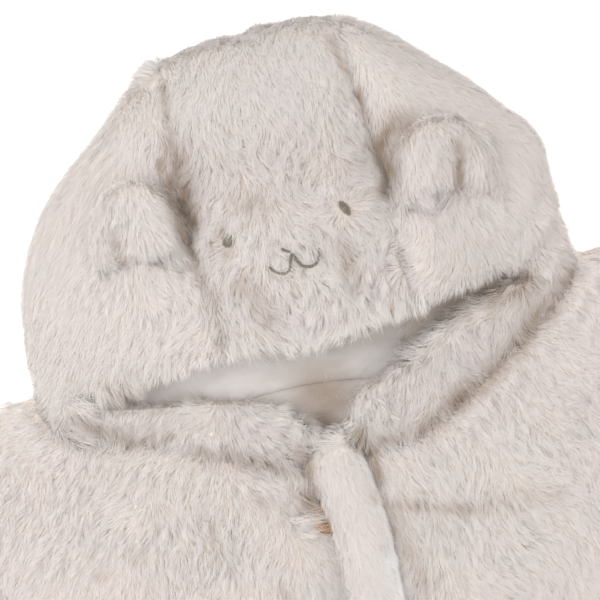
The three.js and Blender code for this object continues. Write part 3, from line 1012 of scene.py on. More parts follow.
    def shading(self, pile: Pile, roots: Roots, points: np.ndarray, along: np.ndarray, across: np.ndarray,
                roll: np.ndarray) -> np.ndarray:
        """The normal that each blade is shaded by: mostly the backing's, but on the side of its own face.

        Args:
            pile: how it stands.
            roots: its roots.
            points: the four corners of each blade.
            along: the direction of each blade along the backing.
            across: the direction across it.
            roll: how far each blade is rolled about its length.

        Returns:
            One normal for each blade.
        """
        loose = roots.loose
        # The painted highlight along lines with a tone over one also turns the blades' shading upwards.
        highlight_share = np.zeros((len(points), 1))
        for place in (painted_line for painted_line in self.painted_light if min(painted_line.tone) > 1):
            far, _, _ = to_line(roots.at, place.start, place.end)
            highlight_share = np.maximum(highlight_share, np.exp(-((far / place.reach) ** 2))[:, None])
        tilt = (scatter(roots.clump_cell, 6.0) + 0.6 * scatter(roots.tuft_cell, 9.0) - 0.5) * 0.2 * loose
        lift = unit(roots.up + along * tilt[:, None] + across * roll * blend(0.15, 0.45, loose[:, None])
                    + np.array([[0.0, 0.0, 1.0]]) * (pile.soft + 2.0 * highlight_share))
        low = np.cross(points[:, 1] - points[:, 0], points[:, 2] - points[:, 0])
        high = np.cross(points[:, 3] - points[:, 1], points[:, 2] - points[:, 1])
        facing = unit(unit(low) + unit(high))
        short = np.maximum(LEAST_FACING - (lift * facing).sum(axis=1, keepdims=True), 0)
        return unit(lift + facing * short * 1.6)

    def toned(self, points: np.ndarray, places: list, patchy: float) -> np.ndarray:
        """What the lines of painted shade, painted light or another tone multiply a colour by at each point.

        Args:
            points: rows of x, y and z.
            places: the lines of painted shade, painted light or another tone.
            patchy: how unevenly their shade lies, from 0 to 1.

        Returns:
            A factor of red, green and blue for each point.
        """
        factor = np.ones((len(points), 3))
        uneven = np.clip(0.8 + 0.5 * self.wave(points, 3, 4 * MM, 20 * MM), 0, 1.3)
        for place in places:
            far, _, _ = to_line(points, place.start, place.end)
            share = place.depth * np.exp(-((far / place.reach) ** 2)) * blend(1.0, uneven, patchy)
            full = 1 - np.clip(share, 0, 1)[:, None] * (1 - np.array(place.tone))
            factor = np.where(full < 1, np.minimum(factor, full), factor * full)
        return factor

    def tint_cloth(self, cloth: bpy.types.Object, places: list, patchy: float, shaded: float,
                   whole: float = 1.0) -> None:
        """Writes painted shade and painted light on a cloth, as a colour attribute.

        Args:
            cloth: the cloth.
            places: the lines of painted shade, painted light or another tone.
            patchy: how unevenly their shade lies, from 0 to 1.
            shaded: how much of the painted shade of close pile the cloth takes, from 0 to 1.
            whole: what the whole cloth is multiplied by.
        """
        points, _ = arrays_of(cloth.data)
        near = self.nearness(points)[:, None]
        colours = self.toned(points, places, patchy) * (1 - near * shaded * (1 - np.array(self.shaded)))
        write_tint(cloth.data, colours * whole * blend(FAR_TONE, 1.0, near))

    def tint(self, mesh: bpy.types.Mesh, pile: Pile, roots: Roots, corners: np.ndarray,
             rng: np.random.Generator) -> None:
        """Writes the tint of each blade's corners: darker and warmer at the root, and with the painted shade
        and painted light of the lines.

        Args:
            mesh: the blades.
            pile: their colours.
            roots: their roots.
            corners: the corners of all the blades, four to a blade.
            rng: the seeded source of chance.
        """
        count, loose = len(roots.at), roots.loose
        shade = (0.985 + 0.03 * (scatter(roots.tuft_cell, 7.0) - 0.5) * loose) * rng.normal(1.0, 0.014, count)
        colours = np.stack([pile.root, pile.middle, pile.middle, pile.tip])[None] * shade[:, None, None]
        # Where the pile lies sleek the roots come nearer the middle colour, with less painted shade deep in
        # the pile.
        colours[:, 0] += (np.array(pile.middle) - colours[:, 0]) * 0.6 * roots.calm[:, None]
        # The painted shade and painted light of the lines tell most at the foot of a blade.
        depth = np.array([1.0, 0.9, 0.9, 0.8])[None, :, None]  # hollows tell most at the foot of a blade
        colours *= blend(1.0, self.toned(corners, self.painted_light, 1.0).reshape(count, 4, 3), depth)
        colours *= blend(FAR_TONE, 1.0, self.nearness(corners)).reshape(count, 4, 1)
        write_tint(mesh, colours.reshape(-1, 3))


# ---- the garment's cloth ---------------------------------------------------------------------------------


@dataclass
class Cut:
    """What a maker cuts for a piece.

    Args:
        width: the width of the flat rectangle that holds it.
        length: the length of that rectangle.
        area: its own area, in square metres.
    """

    width: float
    length: float
    area: float


EDGE_ANGLE = math.radians(50)  # edges of a solid that turn by more than this are its sharp ones
SEAM_CLOSING = 0.4 * MM  # sewn cloths move this far together, which closes the gap between their solids
SEAM_REACH = 1.6 * MM  # a neighbour closer than this is sewn on
THICKEST = 30 * MM  # solids count as no thicker than this
TOUCHING = 1e-6  # a neighbour as close as this shows no way to itself
BESIDE = 0.5  # a neighbour is sewn on beside a point, not over it, if the way there rises less than this
LEAST_LEFT = 0.35  # a point with less than this left of its normal sinks straight down
UNDER_FACE = 0.05 * MM  # the look through a solid starts this far under its face
STEP_BACK = 1.0 * MM  # the look for what covers a point starts this far behind it
BARE_FACING = -0.75  # faces that look down further than this bear no fur
PLUSH_FACING = -0.6  # faces of the hood that look down further than this are lined


def cloth_from_solid(node: str, name: str, firm: float) -> bpy.types.Object:
    """A smooth copy of a solid, as the start of a cloth piece.

    Args:
        node: the solid's name.
        name: the new object's name.
        firm: how sharp its edges stay, from 0 to 1.

    Returns:
        The new object.
    """
    work = bmesh.new()
    work.from_mesh(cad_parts[node].data)
    bmesh.ops.remove_doubles(work, verts=work.verts, dist=1e-6)
    crease = work.edges.layers.float.new("crease_edge")
    for edge in work.edges:
        if edge.calc_face_angle(0.0) > EDGE_ANGLE:
            edge[crease] = firm
    mesh = bpy.data.meshes.new(name)
    work.to_mesh(mesh)
    work.free()
    mesh.materials.clear()
    obj = new_object(name, mesh)
    modifier = obj.modifiers.new("rounding", "SUBSURF")
    modifier.levels = 1
    graph = bpy.context.evaluated_depsgraph_get()
    smoothed = bpy.data.meshes.new_from_object(obj.evaluated_get(graph))
    obj.modifiers.clear()
    obj.data = smoothed
    bpy.data.meshes.remove(mesh)
    smoothed.name = name
    obj.data.polygons.foreach_set("use_smooth", np.ones(len(obj.data.polygons), dtype=bool))
    return obj


@dataclass
class Neighbours:
    """All the solids of the garment, to find what lies close to a piece.

    Args:
        trees: a search tree of each solid's faces, by the solid's name.
    """

    trees: dict = field(default_factory=dict)

    def __post_init__(self) -> None:
        """Reads every solid once."""
        for name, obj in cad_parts.items():
            points = [v.co for v in obj.data.vertices]
            faces = [p.vertices[:] for p in obj.data.polygons]
            self.trees[name] = BVHTree.FromPolygons(points, faces)

    def clear_of(self, node: str, points: np.ndarray, normals: np.ndarray) -> np.ndarray:
        """The way that each point moves when a cloth sinks into its solid without leaving the seam beside it.

        Args:
            node: the cloth's own solid.
            points: its points.
            normals: the normals there.

        Returns:
            The normals with the part that faces a neighbour taken out, or straight up where nothing is left.
            With them comes the way to the seam from the points beside one, or zero.
        """
        result = normals.copy()
        seam = np.zeros_like(normals)
        for index, point in enumerate(points):
            here = Vector(point)
            for name, tree in self.trees.items():
                if name == node:
                    continue
                spot = tree.find_nearest(here, SEAM_REACH)[0]
                if spot is None or (spot - here).length < TOUCHING:
                    continue
                side = np.array((spot - here).normalized())
                facing = float(result[index] @ side)
                if facing > 0:
                    result[index] -= side * facing
                    seam[index] = side if abs(side[2]) < BESIDE else 0.0
        size = np.linalg.norm(result, axis=1, keepdims=True)
        way = np.where(size > LEAST_LEFT, result / np.maximum(size, 1e-6), np.array([0.0, 0.0, 1.0]))
        return way, seam

    def thickness(self, node: str, points: np.ndarray, normals: np.ndarray) -> np.ndarray:
        """How thick a solid is under each point of its surface.

        Args:
            node: the solid.
            points: the points.
            normals: the normals there.

        Returns:
            One thickness for each point, THICKEST at most.
        """
        tree = self.trees[node]
        result = []
        for point, normal in zip(points, normals):
            inward = -Vector(normal)
            hit = tree.ray_cast(Vector(point) + inward * UNDER_FACE, inward, THICKEST)
            result.append(hit[3] if hit[0] is not None else THICKEST)
        return np.array(result)

    def covers(self, node: str, point: Vector, normal: Vector, reach: float) -> bool:
        """Whether another solid lies close in front of a point.

        Args:
            node: the point's own solid, which doesn't count.
            point: the point.
            normal: the normal there.
            reach: how far in front of it a solid counts.

        Returns:
            True if one is there.
        """
        for name, tree in self.trees.items():
            if name == node:
                continue
            hit = tree.ray_cast(point - normal * STEP_BACK, normal, reach + STEP_BACK)
            if hit[0] is not None:
                return True
        return False


@dataclass(frozen=True)
class Fold:
    """A valley that a hand has pressed into a piece, deepest at its end.

    Args:
        start: where it starts, across from the middle and along from the brow line.
        end: where it ends.
        reach: how far out it goes.
        depth: how deep it is at its end.
    """

    start: tuple
    end: tuple
    reach: float
    depth: float

    def press(self, points: np.ndarray) -> np.ndarray:
        """How far each point is pressed down."""
        far, share, _ = to_line(points, self.start, self.end)
        return self.depth * np.exp(-((far / self.reach) ** 2)) * (0.35 + 0.65 * share)


def declare(cloth: bpy.types.Object, node: str) -> None:
    """Hangs a cloth on the garment's body and hides the solid that it stands for.

    Args:
        cloth: the cloth.
        node: the solid that it stands for.
    """
    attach(cloth, BODY)
    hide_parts(node)
    log.info("%s: %d faces", cloth.name, len(cloth.data.polygons))


@dataclass
class FurPanel:
    """A fur piece: its backing, set in from the solid by the pile's depth, and the pile on it.

    Args:
        node: the solid that it stands for.
        pile: how its fur stands.
        cut: what a maker cuts for it; not used.
        rests_on: the cloths that it lies on; not used.
        covered: how close another solid has to lie over it for the backing to stay bare there.
        folds: the valleys pressed into it.
        ground: the finish of its backing.
        slot: what it is made of; not used.
        closing: how far its sewn edges move towards their neighbours.
    """

    node: str
    pile: Pile
    cut: Cut
    rests_on: tuple = ()
    covered: float = 0.8 * MM
    folds: tuple = ()
    ground: str = "backing"
    slot: str = "fur"
    closing: float = SEAM_CLOSING

    def build(self, grower: FurGrower, near: Neighbours, finishes: dict) -> bpy.types.Object:
        """Args:
            grower: grows the pile.
            near: tells what covers the cloth.
            finishes: the materials by name.

        Returns:
            The backing, with the pile as its own object beside it.
        """
        cloth = cloth_from_solid(self.node, self.node + "_cloth", 0.0)
        points, normals = arrays_of(cloth.data)
        bare = np.array([
            face.normal.z < BARE_FACING or near.covers(self.node, face.center, face.normal, self.covered)
            for face in cloth.data.polygons
        ])
        outward, seam = near.clear_of(self.node, points, normals)
        outside = smooth(normals[:, 2], -0.95, -0.4)
        calm = calm_at(self.pile.lay, points[:, 0], points[:, 1] - BROW)
        thickness = near.thickness(self.node, points, normals)
        sink = np.minimum(self.pile.depth * (1 - 0.5 * calm), 0.5 * thickness)
        rim = smooth(points[:, 1] - BROW, -15 * MM, 10 * MM) * (1 - smooth(normals[:, 2], 0.05, 0.55))
        sink *= blend(1.0, self.pile.edge, rim)
        points -= outward * (sink * outside)[:, None]
        points += seam * self.closing
        for fold in self.folds:
            points[:, 2] -= fold.press(points) * smooth(normals[:, 2], 0.0, 0.5)
        points[:, 2] = np.maximum(points[:, 2], BACKING_CLEARANCE)
        move_points(cloth.data, points)
        self.dress(cloth, finishes)
        # The backing takes the painted shade and painted light of the lines, and the painted shade of the
        # close pile over it.
        grower.tint_cloth(cloth, grower.painted_light, 1.0, 1.0)
        skin = Skin.of(cloth.data, lambda corners, normals, faces: ~bare[faces])
        fur = grower.grow(self.node + "_fur", skin, self.pile, finishes["pile"], self.folds)
        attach(fur, BODY)
        declare(cloth, self.node)
        return cloth

    def dress(self, cloth: bpy.types.Object, finishes: dict) -> None:
        """The ground cloth outside, and plush on the hood's faces that look inward and down.

        Args:
            cloth: the backing.
            finishes: the materials by name.
        """
        cloth.data.materials.append(finishes[self.ground])
        cloth.data.materials.append(finishes["plush"])
        for face in cloth.data.polygons:
            face.material_index = 1 if self.pile.lay is Lay.HOOD and face.normal.z < PLUSH_FACING else 0


@dataclass
class Lining:
    """A sheet of plush that shows inside the mouth of the hood, with soft creases.

    Args:
        node: the solid that it stands for.
        cut: what a maker cuts for it; not used.
        fringe: the line where the fur of the rim runs in over it: its start, its end and its reach.
        crease: how high its creases are.
    """

    node: str
    cut: Cut
    fringe: tuple = ()
    crease: float = 0.8 * MM

    def build(self, grower: FurGrower, finishes: dict) -> bpy.types.Object:
        """Args:
            grower: grows its fringe, and writes the shade on it.
            finishes: the materials by name.

        Returns:
            The sheet.
        """
        cloth = cloth_from_solid(self.node, self.node + "_cloth", 0.8)
        points, normals = arrays_of(cloth.data)
        x, y = points[:, 0], points[:, 1] - BROW
        top = smooth(normals[:, 2], 0.2, 0.8)
        wrinkle = np.sin(x * 210 + 2.2 * np.sin(y * 160)) * np.sin(y * 120 + 1.3 * np.sin(x * 90))
        points[:, 2] += self.crease * wrinkle * top
        points += normals * SEAM_CLOSING / 2
        move_points(cloth.data, points)
        cloth.data.materials.append(finishes["plush"])
        # Painted shade deep in the mouth and painted light by the left lip, with the whole lining darkened to
        # 0.8 as painted shade under the brim.
        grower.tint_cloth(cloth, LINING_PAINTED_LIGHT, 0.0, 0.0, 0.8)
        if self.fringe:
            skin = Skin.of(cloth.data, self.by_the_rim)
            fringe = grower.grow(self.node + "_fringe", skin, FRINGE_PILE, finishes["pile"])
            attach(fringe, BODY)
        declare(cloth, self.node)
        return cloth

    def by_the_rim(self, corners: np.ndarray, normals: np.ndarray, _: np.ndarray) -> np.ndarray:
        """Which triangles look up close to the line where the fur of the rim runs in over the sheet.

        Args:
            corners: the corners of each triangle.
            normals: the normals at them.
            _: the face that each triangle is part of.

        Returns:
            True for each such triangle.
        """
        start, end, reach = self.fringe
        far, _, _ = to_line(corners.mean(axis=1), start, end)
        return (far < reach) & (normals.mean(axis=1)[:, 2] > 0.3)


# ---- the stitched face -----------------------------------------------------------------------------------


@dataclass
class Embroidery:
    """Stitches of floss on a cloth, each a rounded thread that arches from one hole to the next.

    Args:
        ground: the cloth's faces.
        radius: half the thickness of a stitch.
        sides: how many sides a stitch has.
        rings: how many rings it has from end to end.
        starts: where the stitches noted so far start.
        ends: where they end.
        arches: how high they arch.
    """

    ground: BVHTree
    radius: float = 0.34 * MM
    sides: int = 6
    rings: int = 7
    starts: list = field(default_factory=list)
    ends: list = field(default_factory=list)
    arches: list = field(default_factory=list)

    def level(self, x: float, y: float, above: float) -> np.ndarray:
        """The place a little above the cloth at x and y."""
        hit = self.ground.ray_cast(Vector((x, y + BROW, 1.0)), Vector((0, 0, -1)))
        return np.array(hit[0]) + np.array(hit[1]) * above

    def satin(self, x: float, y: float, half: tuple, lean: float, above: float, count: int) -> None:
        """Fills an oval with parallel threads across its short side.

        Args:
            x: the oval's middle, across.
            y: its middle, along.
            half: half its width and half its length.
            lean: how far its long side is turned from upright, in radians.
            above: how far it stands over the cloth.
            count: how many threads fill it.
        """
        c, s = math.cos(lean), math.sin(lean)
        for row in np.linspace(-0.93, 0.93, count):
            reach = half[0] * math.sqrt(1 - row * row)
            along = half[1] * row
            ends = []
            for sign in (-1, 1):
                u, v = sign * reach, along + sign * 0.12 * half[0]
                ends.append(self.level(x + u * c - v * s, y + u * s + v * c, above))
            self.add(ends[0], ends[1], 0.9 * MM * math.sqrt(1 - row * row) + 0.3 * MM)

    def line(self, knots: list, step: float, above: float) -> None:
        """Back stitches along a curve, each starting a little inside the last one.

        Args:
            knots: the places that the curve passes through.
            step: about how long a stitch is.
            above: how far over the cloth the stitches are.
        """
        path = curve_through(knots, 24)
        run = np.concatenate([[0], np.cumsum(np.linalg.norm(np.diff(path, axis=0), axis=1))])
        count = max(int(run[-1] / step), 1)
        marks = np.linspace(0, run[-1], count + 1)
        xs, ys = np.interp(marks, run, path[:, 0]), np.interp(marks, run, path[:, 1])
        for i in range(count):
            back = 0.25 if i else 0.0
            a = self.level(xs[i] - back * (xs[i + 1] - xs[i]), ys[i] - back * (ys[i + 1] - ys[i]), above)
            b = self.level(xs[i + 1], ys[i + 1], above)
            self.add(a, b, 0.35 * MM)

    def add(self, start: np.ndarray, end: np.ndarray, arch: float) -> None:
        """Notes one stitch down.

        Args:
            start: where the thread comes up.
            end: where it goes down.
            arch: how high it stands between them.
        """
        self.starts.append(start)
        self.ends.append(end)
        self.arches.append(arch)

    def build(self, name: str, finish: bpy.types.Material) -> bpy.types.Object:
        """All the stitches noted so far, as one object.

        Args:
            name: what the object is called.
            finish: the thread's material.

        Returns:
            The object.
        """
        a, b = np.array(self.starts), np.array(self.ends)
        arch = np.array(self.arches)
        run = unit(b - a)
        up = unit(np.array([0, 0, 1.0]) - run * run[:, 2:3])
        side = np.cross(run, up)
        t = np.linspace(0, 1, self.rings)
        spine = a[:, None] + (b - a)[:, None] * t[None, :, None]
        spine += up[:, None] * (arch[:, None] * np.sin(math.pi * t))[:, :, None]
        thick = self.radius * (0.35 + 0.65 * np.sqrt(np.sin(math.pi * np.clip(t, 0.02, 0.98))))
        turn = np.arange(self.sides) * 2 * math.pi / self.sides
        ring = (side[:, None, None] * np.cos(turn)[None, None, :, None]
                + up[:, None, None] * np.sin(turn)[None, None, :, None])
        points = (spine[:, :, None] + ring * thick[None, :, None, None]).reshape(-1, 3)
        count = len(a)
        i, j, k = np.meshgrid(np.arange(count), np.arange(self.rings - 1), np.arange(self.sides),
                              indexing="ij")
        k_next = (k + 1) % self.sides
        base = (i * self.rings + j) * self.sides
        above = base + self.sides
        faces = np.stack([base + k, base + k_next, above + k_next, above + k], axis=-1)
        obj = new_object(name, mesh_from(name, points, faces.reshape(-1, 4)[:, ::-1]))
        obj.data.materials.append(finish)
        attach(obj, BODY)
        log.info("%s: %d stitches", name, count)
        return obj


# ---- the studio ------------------------------------------------------------------------------------------


@dataclass
class Studio:
    """A pale surface, soft light from above and a camera straight over the hood.

    Args:
        surface: how wide the surface is.
        distance: how far the camera is from the fur.
        sensor: the width of its sensor, in millimetres.
        mean_level: how high the fur lies on the whole.
        room_light: the strength of the light from all round.
    """

    surface: float = 8.0
    distance: float = 1.08
    sensor: float = 36.0
    mean_level: float = 30 * MM
    room_light: float = 0.75

    def build(self, finishes: dict) -> None:
        """Makes the surface, the lights, the camera and the tone.

        Args:
            finishes: the materials by name.
        """
        half = self.surface / 2
        corners = np.array([[-half, -half, 0], [half, -half, 0], [half, half, 0], [-half, half, 0]])
        floor = new_object("surface", mesh_from("surface", corners, np.array([[0, 1, 2, 3]])))
        floor.data.materials.append(finishes["surface"])
        self.light("key", (-1.0, 0.45, 2.0), 1.5, 29.0)
        self.light("fill", (0.9, -0.3, 2.3), 2.4, 21.0)
        self.world()
        self.camera()
        view = bpy.context.scene.view_settings
        view.view_transform = "Standard"
        view.look = "None"
        view.exposure = 0.0

    def light(self, name: str, place: tuple, size: float, power: float) -> None:
        """A square soft light that looks at the hood.

        Args:
            name: what the light is called.
            place: where it hangs, from the middle of the brow line.
            size: the length of its sides.
            power: its power in watts.
        """
        lamp = bpy.data.lights.new(name, "AREA")
        lamp.size = size
        lamp.energy = power
        lamp.color = (0.985, 1.0, 1.02)
        obj = bpy.data.objects.new(name, lamp)
        obj.location = (place[0], place[1] + BROW, place[2])
        aim = Vector((0, BROW, 0)) - obj.location
        obj.rotation_euler = aim.to_track_quat("-Z", "Y").to_euler()
        bpy.context.scene.collection.objects.link(obj)

    def world(self) -> None:
        """An even, slightly warm light all round, which fills the shadows."""
        world = bpy.data.worlds.new("soft_room")
        world.use_nodes = True
        shade = world.node_tree.nodes["Background"]
        shade.inputs["Color"].default_value = (1.0, 0.97, 0.945, 1.0)
        shade.inputs["Strength"].default_value = self.room_light
        bpy.context.scene.world = world

    def camera(self) -> None:
        """The camera, square to the surface and turned against the garment."""
        lens = bpy.data.cameras.new("camera")
        lens.sensor_width = self.sensor
        lens.lens = self.sensor * self.distance / SHOWN_SPAN
        obj = bpy.data.objects.new("camera", lens)
        obj.location = (0.0, BROW, self.mean_level + self.distance)
        obj.rotation_euler = (0.0, 0.0, -TURN)
        bpy.context.scene.collection.objects.link(obj)
        bpy.context.scene.camera = obj


# ---- the garment -----------------------------------------------------------------------------------------

HOOD_PILE = Pile(Lay.HOOD, wander=0.75, edge=0.4, edge_lift=16)
CENTRE_PILE = Pile(Lay.HOOD, wander=0.75, edge=0.9)
BODY_PILE = Pile(Lay.BODY, wander=0.7, close=2.8e6, most=68000)
PLACKET_PILE = Pile(Lay.STRAIGHT, length=9 * MM, depth=3.2 * MM, wander=0.22, close=4.4e6, far=0.7e6,
                    gather=0.35, soft=0.7, most=20000)
BINDING_PILE = Pile(Lay.STRAIGHT, length=3.4 * MM, width=0.26 * MM, depth=2.4 * MM, wander=0.3, close=9.0e6,
                    far=1.0e6, gather=0.2, rise=30, fall=64, soft=1.5, root=(0.95, 0.95, 0.955),
                    middle=(0.985, 0.985, 0.99), tip=(1.0, 1.0, 1.0))
EAR_PILE = Pile(Lay.EAR, length=10 * MM, depth=4.0 * MM, close=4.2e6, wander=0.8, root=(0.93, 0.895, 0.87))
UNDER_PILE = Pile(Lay.BODY, length=8 * MM, width=0.34 * MM, depth=4.6 * MM, close=1.2e6, far=0.25e6,
                  most=9000)
COVERED_PILE = replace(UNDER_PILE, close=0.6e6, most=6000)
# The fringe's pile is paler and warmer than the rest: painted light that lifts the deep shade in the mouth's
# corner and warms it.
FRINGE_PILE = Pile(Lay.STRAIGHT, length=9 * MM, width=0.3 * MM, depth=0.0, wander=0.8, close=2.6e6, far=1.0e6,
                   rise=50, fall=82, soft=0.9, root=(1.0, 0.90, 0.81), middle=(1.0, 0.94, 0.88),
                   tip=(1.0, 0.96, 0.92), most=9000)

# The stitched face: across, along, half width, half length and lean of each eye. The mouth and the short line
# over it are in millimetres.
LEFT_EYE = (-27.8 * MM, 40.2 * MM, (3.1 * MM, 3.9 * MM), math.radians(-15))
RIGHT_EYE = (34.9 * MM, 40.4 * MM, (2.3 * MM, 4.5 * MM), math.radians(24))
MOUTH = [(-10.8, 20.6), (-9.4, 18.2), (-6.9, 16.2), (-3.2, 15.1), (-0.7, 16.8), (0.4, 20.6), (2.4, 24.4),
         (3.9, 19.7), (5.9, 16.6), (10.4, 15.5), (13.9, 17.0), (16.4, 23.7)]
NOSE = [(-2.4, 28.2), (-0.6, 26.6), (1.6, 25.4)]
EYE_LEVEL = 2.8 * MM  # how far over the backing the stitches are, within the pile
EYE_THREADS = 13
MOUTH_LEVEL = 4.7 * MM
MOUTH_STITCH = 1.7 * MM
MOUTH_THREAD = 0.78 * MM


def line_of(x1: float, y1: float, x2: float, y2: float) -> tuple:
    """The start and the end of a line, from millimetres."""
    return (x1 * MM, y1 * MM), (x2 * MM, y2 * MM)


# Where the pile was brushed another way: across and along in millimetres, its reach, and the turn in degrees.
BRUSHES = [
    Brush(piece, x * MM, y * MM, reach * MM, math.radians(turn))
    for piece, x, y, reach, turn in [
        ("hood", -69, 23, 13, 61),
        ("hood", -57, -3, 11, -42),
        ("hood", -106, -5, 18, -60),
        ("hood", -52, 32, 10, 22),
        ("hood", 17, 43, 12, 56),
        ("hood", -34, 49, 9, -44),
        ("hood", -29, -3, 16, -9),
        ("hood", 0, 0, 14, 4),
        ("hood", 61, 10, 16, -78),
        ("hood", 82, -6, 16, -75),
        ("hood", 122, -5, 16, -32),
        ("hood", -68, -44, 10, -91),
        ("hood", -103, -38, 12, -42),
        ("hood", -53, -64, 10, 12),
        ("hood", -31, -64, 12, 56),
        ("hood", 63, -36, 14, -64),
        ("hood_lining", 90, -25, 45, -62),
        ("placket", 11, -92, 8, 45),
        ("placket", 13, -112, 9, 48),
        ("placket", 13, -130, 9, 45),
        ("placket", 12, -148, 9, 42),
        ("placket", 11, -166, 9, 42),
        ("hood", 100, -44, 14, -52),
        ("hood", 51, -70, 16, -48),
        ("hood", 125, -34, 11, -39),
        ("front", -156, -81, 32, -49),
        ("front", -91, -110, 27, -21),
        ("front", -46, -91, 16, 14),
        ("front", -31, -104, 10, 32),
        ("front", -39, -146, 16, 2),
        ("front", 132, -80, 27, 44),
        ("front", 70, -114, 22, 22),
        ("front", 27, -108, 12, -9),
        ("front", 89, -169, 32, 35),
        ("front", 29, -153, 16, -6),
        ("front", 67, -147, 16, 16),
    ]
]

# Where the pile is brushed apart: round the stitches, then along the seams beside the ears. Millimetres.
PARTINGS = [
    Parting(LEFT_EYE[:2], LEFT_EYE[:2], 2.6 * MM, 10 * MM, 0.9, 0.3),
    Parting(RIGHT_EYE[:2], RIGHT_EYE[:2], 2.4 * MM, 26 * MM, 0.8, 0.45),
] + [Parting((x * MM, y * MM), (x * MM, y * MM), 0.9 * MM, 3.0 * MM, 0.5) for x, y in MOUTH] + [
    Parting(*line_of(x1, y1, x2, y2), bare * MM, sweep * MM, 0.15, 0.75)
    for x1, y1, x2, y2, bare, sweep in [
        (-51.5, 92.0, -51.5, 70.0, 1.5, 7.0),
        (-51.5, 70.0, -49.5, 47.0, 2.5, 9.0),
        (58.0, 99.0, 59.0, 80.0, 1.0, 6.0),
        (62.0, 66.0, 62.5, 54.0, 2.0, 8.0),
        (62.5, 54.0, 58.5, 44.0, 1.5, 7.0),
    ]
]

# Painted shade in the seams and creases, the ears' folds, beside the placket and under the lips, warm like
# the roots of the pile, in millimetres: a line, its reach and its depth.
PAINTED_CREASE_SHADE = [
    PaintedLightLine(*line_of(x1, y1, x2, y2), reach * MM, depth)
    for x1, y1, x2, y2, reach, depth in [
        (-41.0, 130.0, -45.0, 102.0, 2.5, 0.45),
        (-46.0, 102.0, -45.5, 90.0, 4.0, 0.5),
        (-45.5, 90.0, -47.0, 74.0, 6.5, 0.8),
        (-47.0, 74.0, -47.0, 62.0, 6.5, 1.0),
        (-47.0, 62.0, -44.0, 54.0, 4.5, 0.95),
        (-52.5, 88.0, -50.5, 52.0, 3.0, 0.9),
        (-50.5, 52.0, -49.5, 43.0, 2.8, 0.9),
        (-49.5, 43.0, -48.5, 32.0, 2.2, 0.7),
        (51.0, 132.0, 57.0, 104.0, 2.5, 0.4),
        (58.0, 100.0, 58.5, 84.0, 3.0, 0.65),
        (74.0, 76.0, 62.0, 68.0, 7.0, 0.8),
        (62.0, 68.0, 63.0, 54.0, 5.0, 0.9),
        (63.0, 54.0, 58.0, 44.0, 4.0, 0.85),
        (-14.8, 57.6, -10.0, 55.0, 8.0, 0.35),
        (-26.6, 15.5, -18.4, -6.2, 7.0, 0.3),
        (28.8, 20.0, 30.8, 0.1, 6.0, 0.35),
        (-38.0, 38.0, -31.0, 34.0, 3.5, 0.35),
        (-31.7, 45.5, -29.5, 45.5, 2.5, 0.5),
        (-48.7, 27.0, -44.3, 11.9, 3.0, 0.45),
        (-44.3, 11.9, -46.5, -12.6, 2.5, 0.4),
        (12.0, -79.0, 15.5, -95.0, 4.0, 1.0),
        (15.5, -95.0, 17.0, -106.0, 3.0, 0.8),
        (14.6, -102.0, 11.0, -116.0, 3.0, 0.45),
        (-21.5, -81.0, -19.5, -90.0, 4.5, 0.7),
        (-20.0, -92.0, -17.5, -104.0, 2.0, 0.5),
        (-25.0, -106.0, -22.0, -118.0, 5.0, 0.9),
        (22.0, -87.0, 47.0, -86.5, 3.5, 0.5),
        (47.0, -86.5, 66.0, -76.5, 5.0, 0.5),
        (66.0, -76.5, 81.0, -71.0, 5.0, 0.85),
        (81.0, -71.0, 108.5, -54.5, 6.0, 0.5),
        (108.5, -54.5, 129.0, -39.0, 6.0, 0.65),
        (129.0, -39.0, 147.0, -24.0, 4.0, 0.5),
        (-133.0, -34.0, -109.0, -51.0, 4.0, 0.5),
        (-109.0, -51.0, -87.0, -55.0, 2.5, 0.5),
        (-74.0, -67.0, -51.0, -77.0, 4.0, 0.45),
        (-51.0, -77.0, -32.0, -87.0, 3.5, 0.5),
        (-113.0, -25.0, -84.0, -32.0, 4.0, 0.55),
        (-84.0, -32.0, -52.0, -41.0, 2.5, 0.45),
        (76.0, -29.0, 100.0, -25.0, 6.0, 0.4),
        (100.0, -25.0, 122.0, -23.0, 7.0, 0.65),
        (101.5, 56.0, 97.5, 36.0, 2.4, 0.9),
        (-86.0, 58.0, -86.0, 41.0, 2.2, 0.5),
        (15.5, -120.0, 64.0, -135.5, 3.0, 0.45),
        (64.0, -135.5, 108.0, -138.0, 5.0, 0.2),
        (19.0, -128.0, 24.5, -169.0, 5.0, 0.3),
        (-50.0, -98.0, -49.0, -104.5, 1.8, 0.5),
        (-146.0, -116.5, -141.0, -120.0, 1.8, 0.35),
        (-77.5, -105.0, -81.0, -124.0, 1.6, 0.35),
        (-123.5, -106.5, -123.5, -115.0, 1.6, 0.3),
        (-51.0, -148.5, -49.7, -154.5, 1.8, 0.4),
    ]
]
# The placket's white edge, with a painted highlight where its pile catches the light.
WHITE_EDGE_HIGHLIGHT = [
    PaintedLightLine(*line_of(x1, y1, x2, y2), 4.5 * MM, 1.0, (1.05, 1.07, 1.09))
    for x1, y1, x2, y2 in [
        (8.5, -84.0, 10.0, -104.0),
        (10.0, -104.0, 11.5, -122.0),
        (11.5, -122.0, 10.5, -149.0),
        (10.5, -149.0, 9.5, -172.0),
    ]
]

# Painted shade on the placket's top, a slightly cooler tone over the crown and a slightly darker one over the
# forehead.
SOFT_TONES = [
    PaintedLightLine(*line_of(-9.0, -81.8, 4.0, -82.4), 3.5 * MM, 1.0, (0.86, 0.845, 0.835)),
    PaintedLightLine(*line_of(-20.0, 112.0, 45.0, 120.0), 45 * MM, 1.0, (0.965, 0.98, 0.985)),
    PaintedLightLine(*line_of(-10.0, 80.0, 20.0, 64.0), 30 * MM, 1.0, (0.965, 0.955, 0.95)),
]
PAINTED_LIGHT_LINES = PAINTED_CREASE_SHADE + WHITE_EDGE_HIGHLIGHT + SOFT_TONES

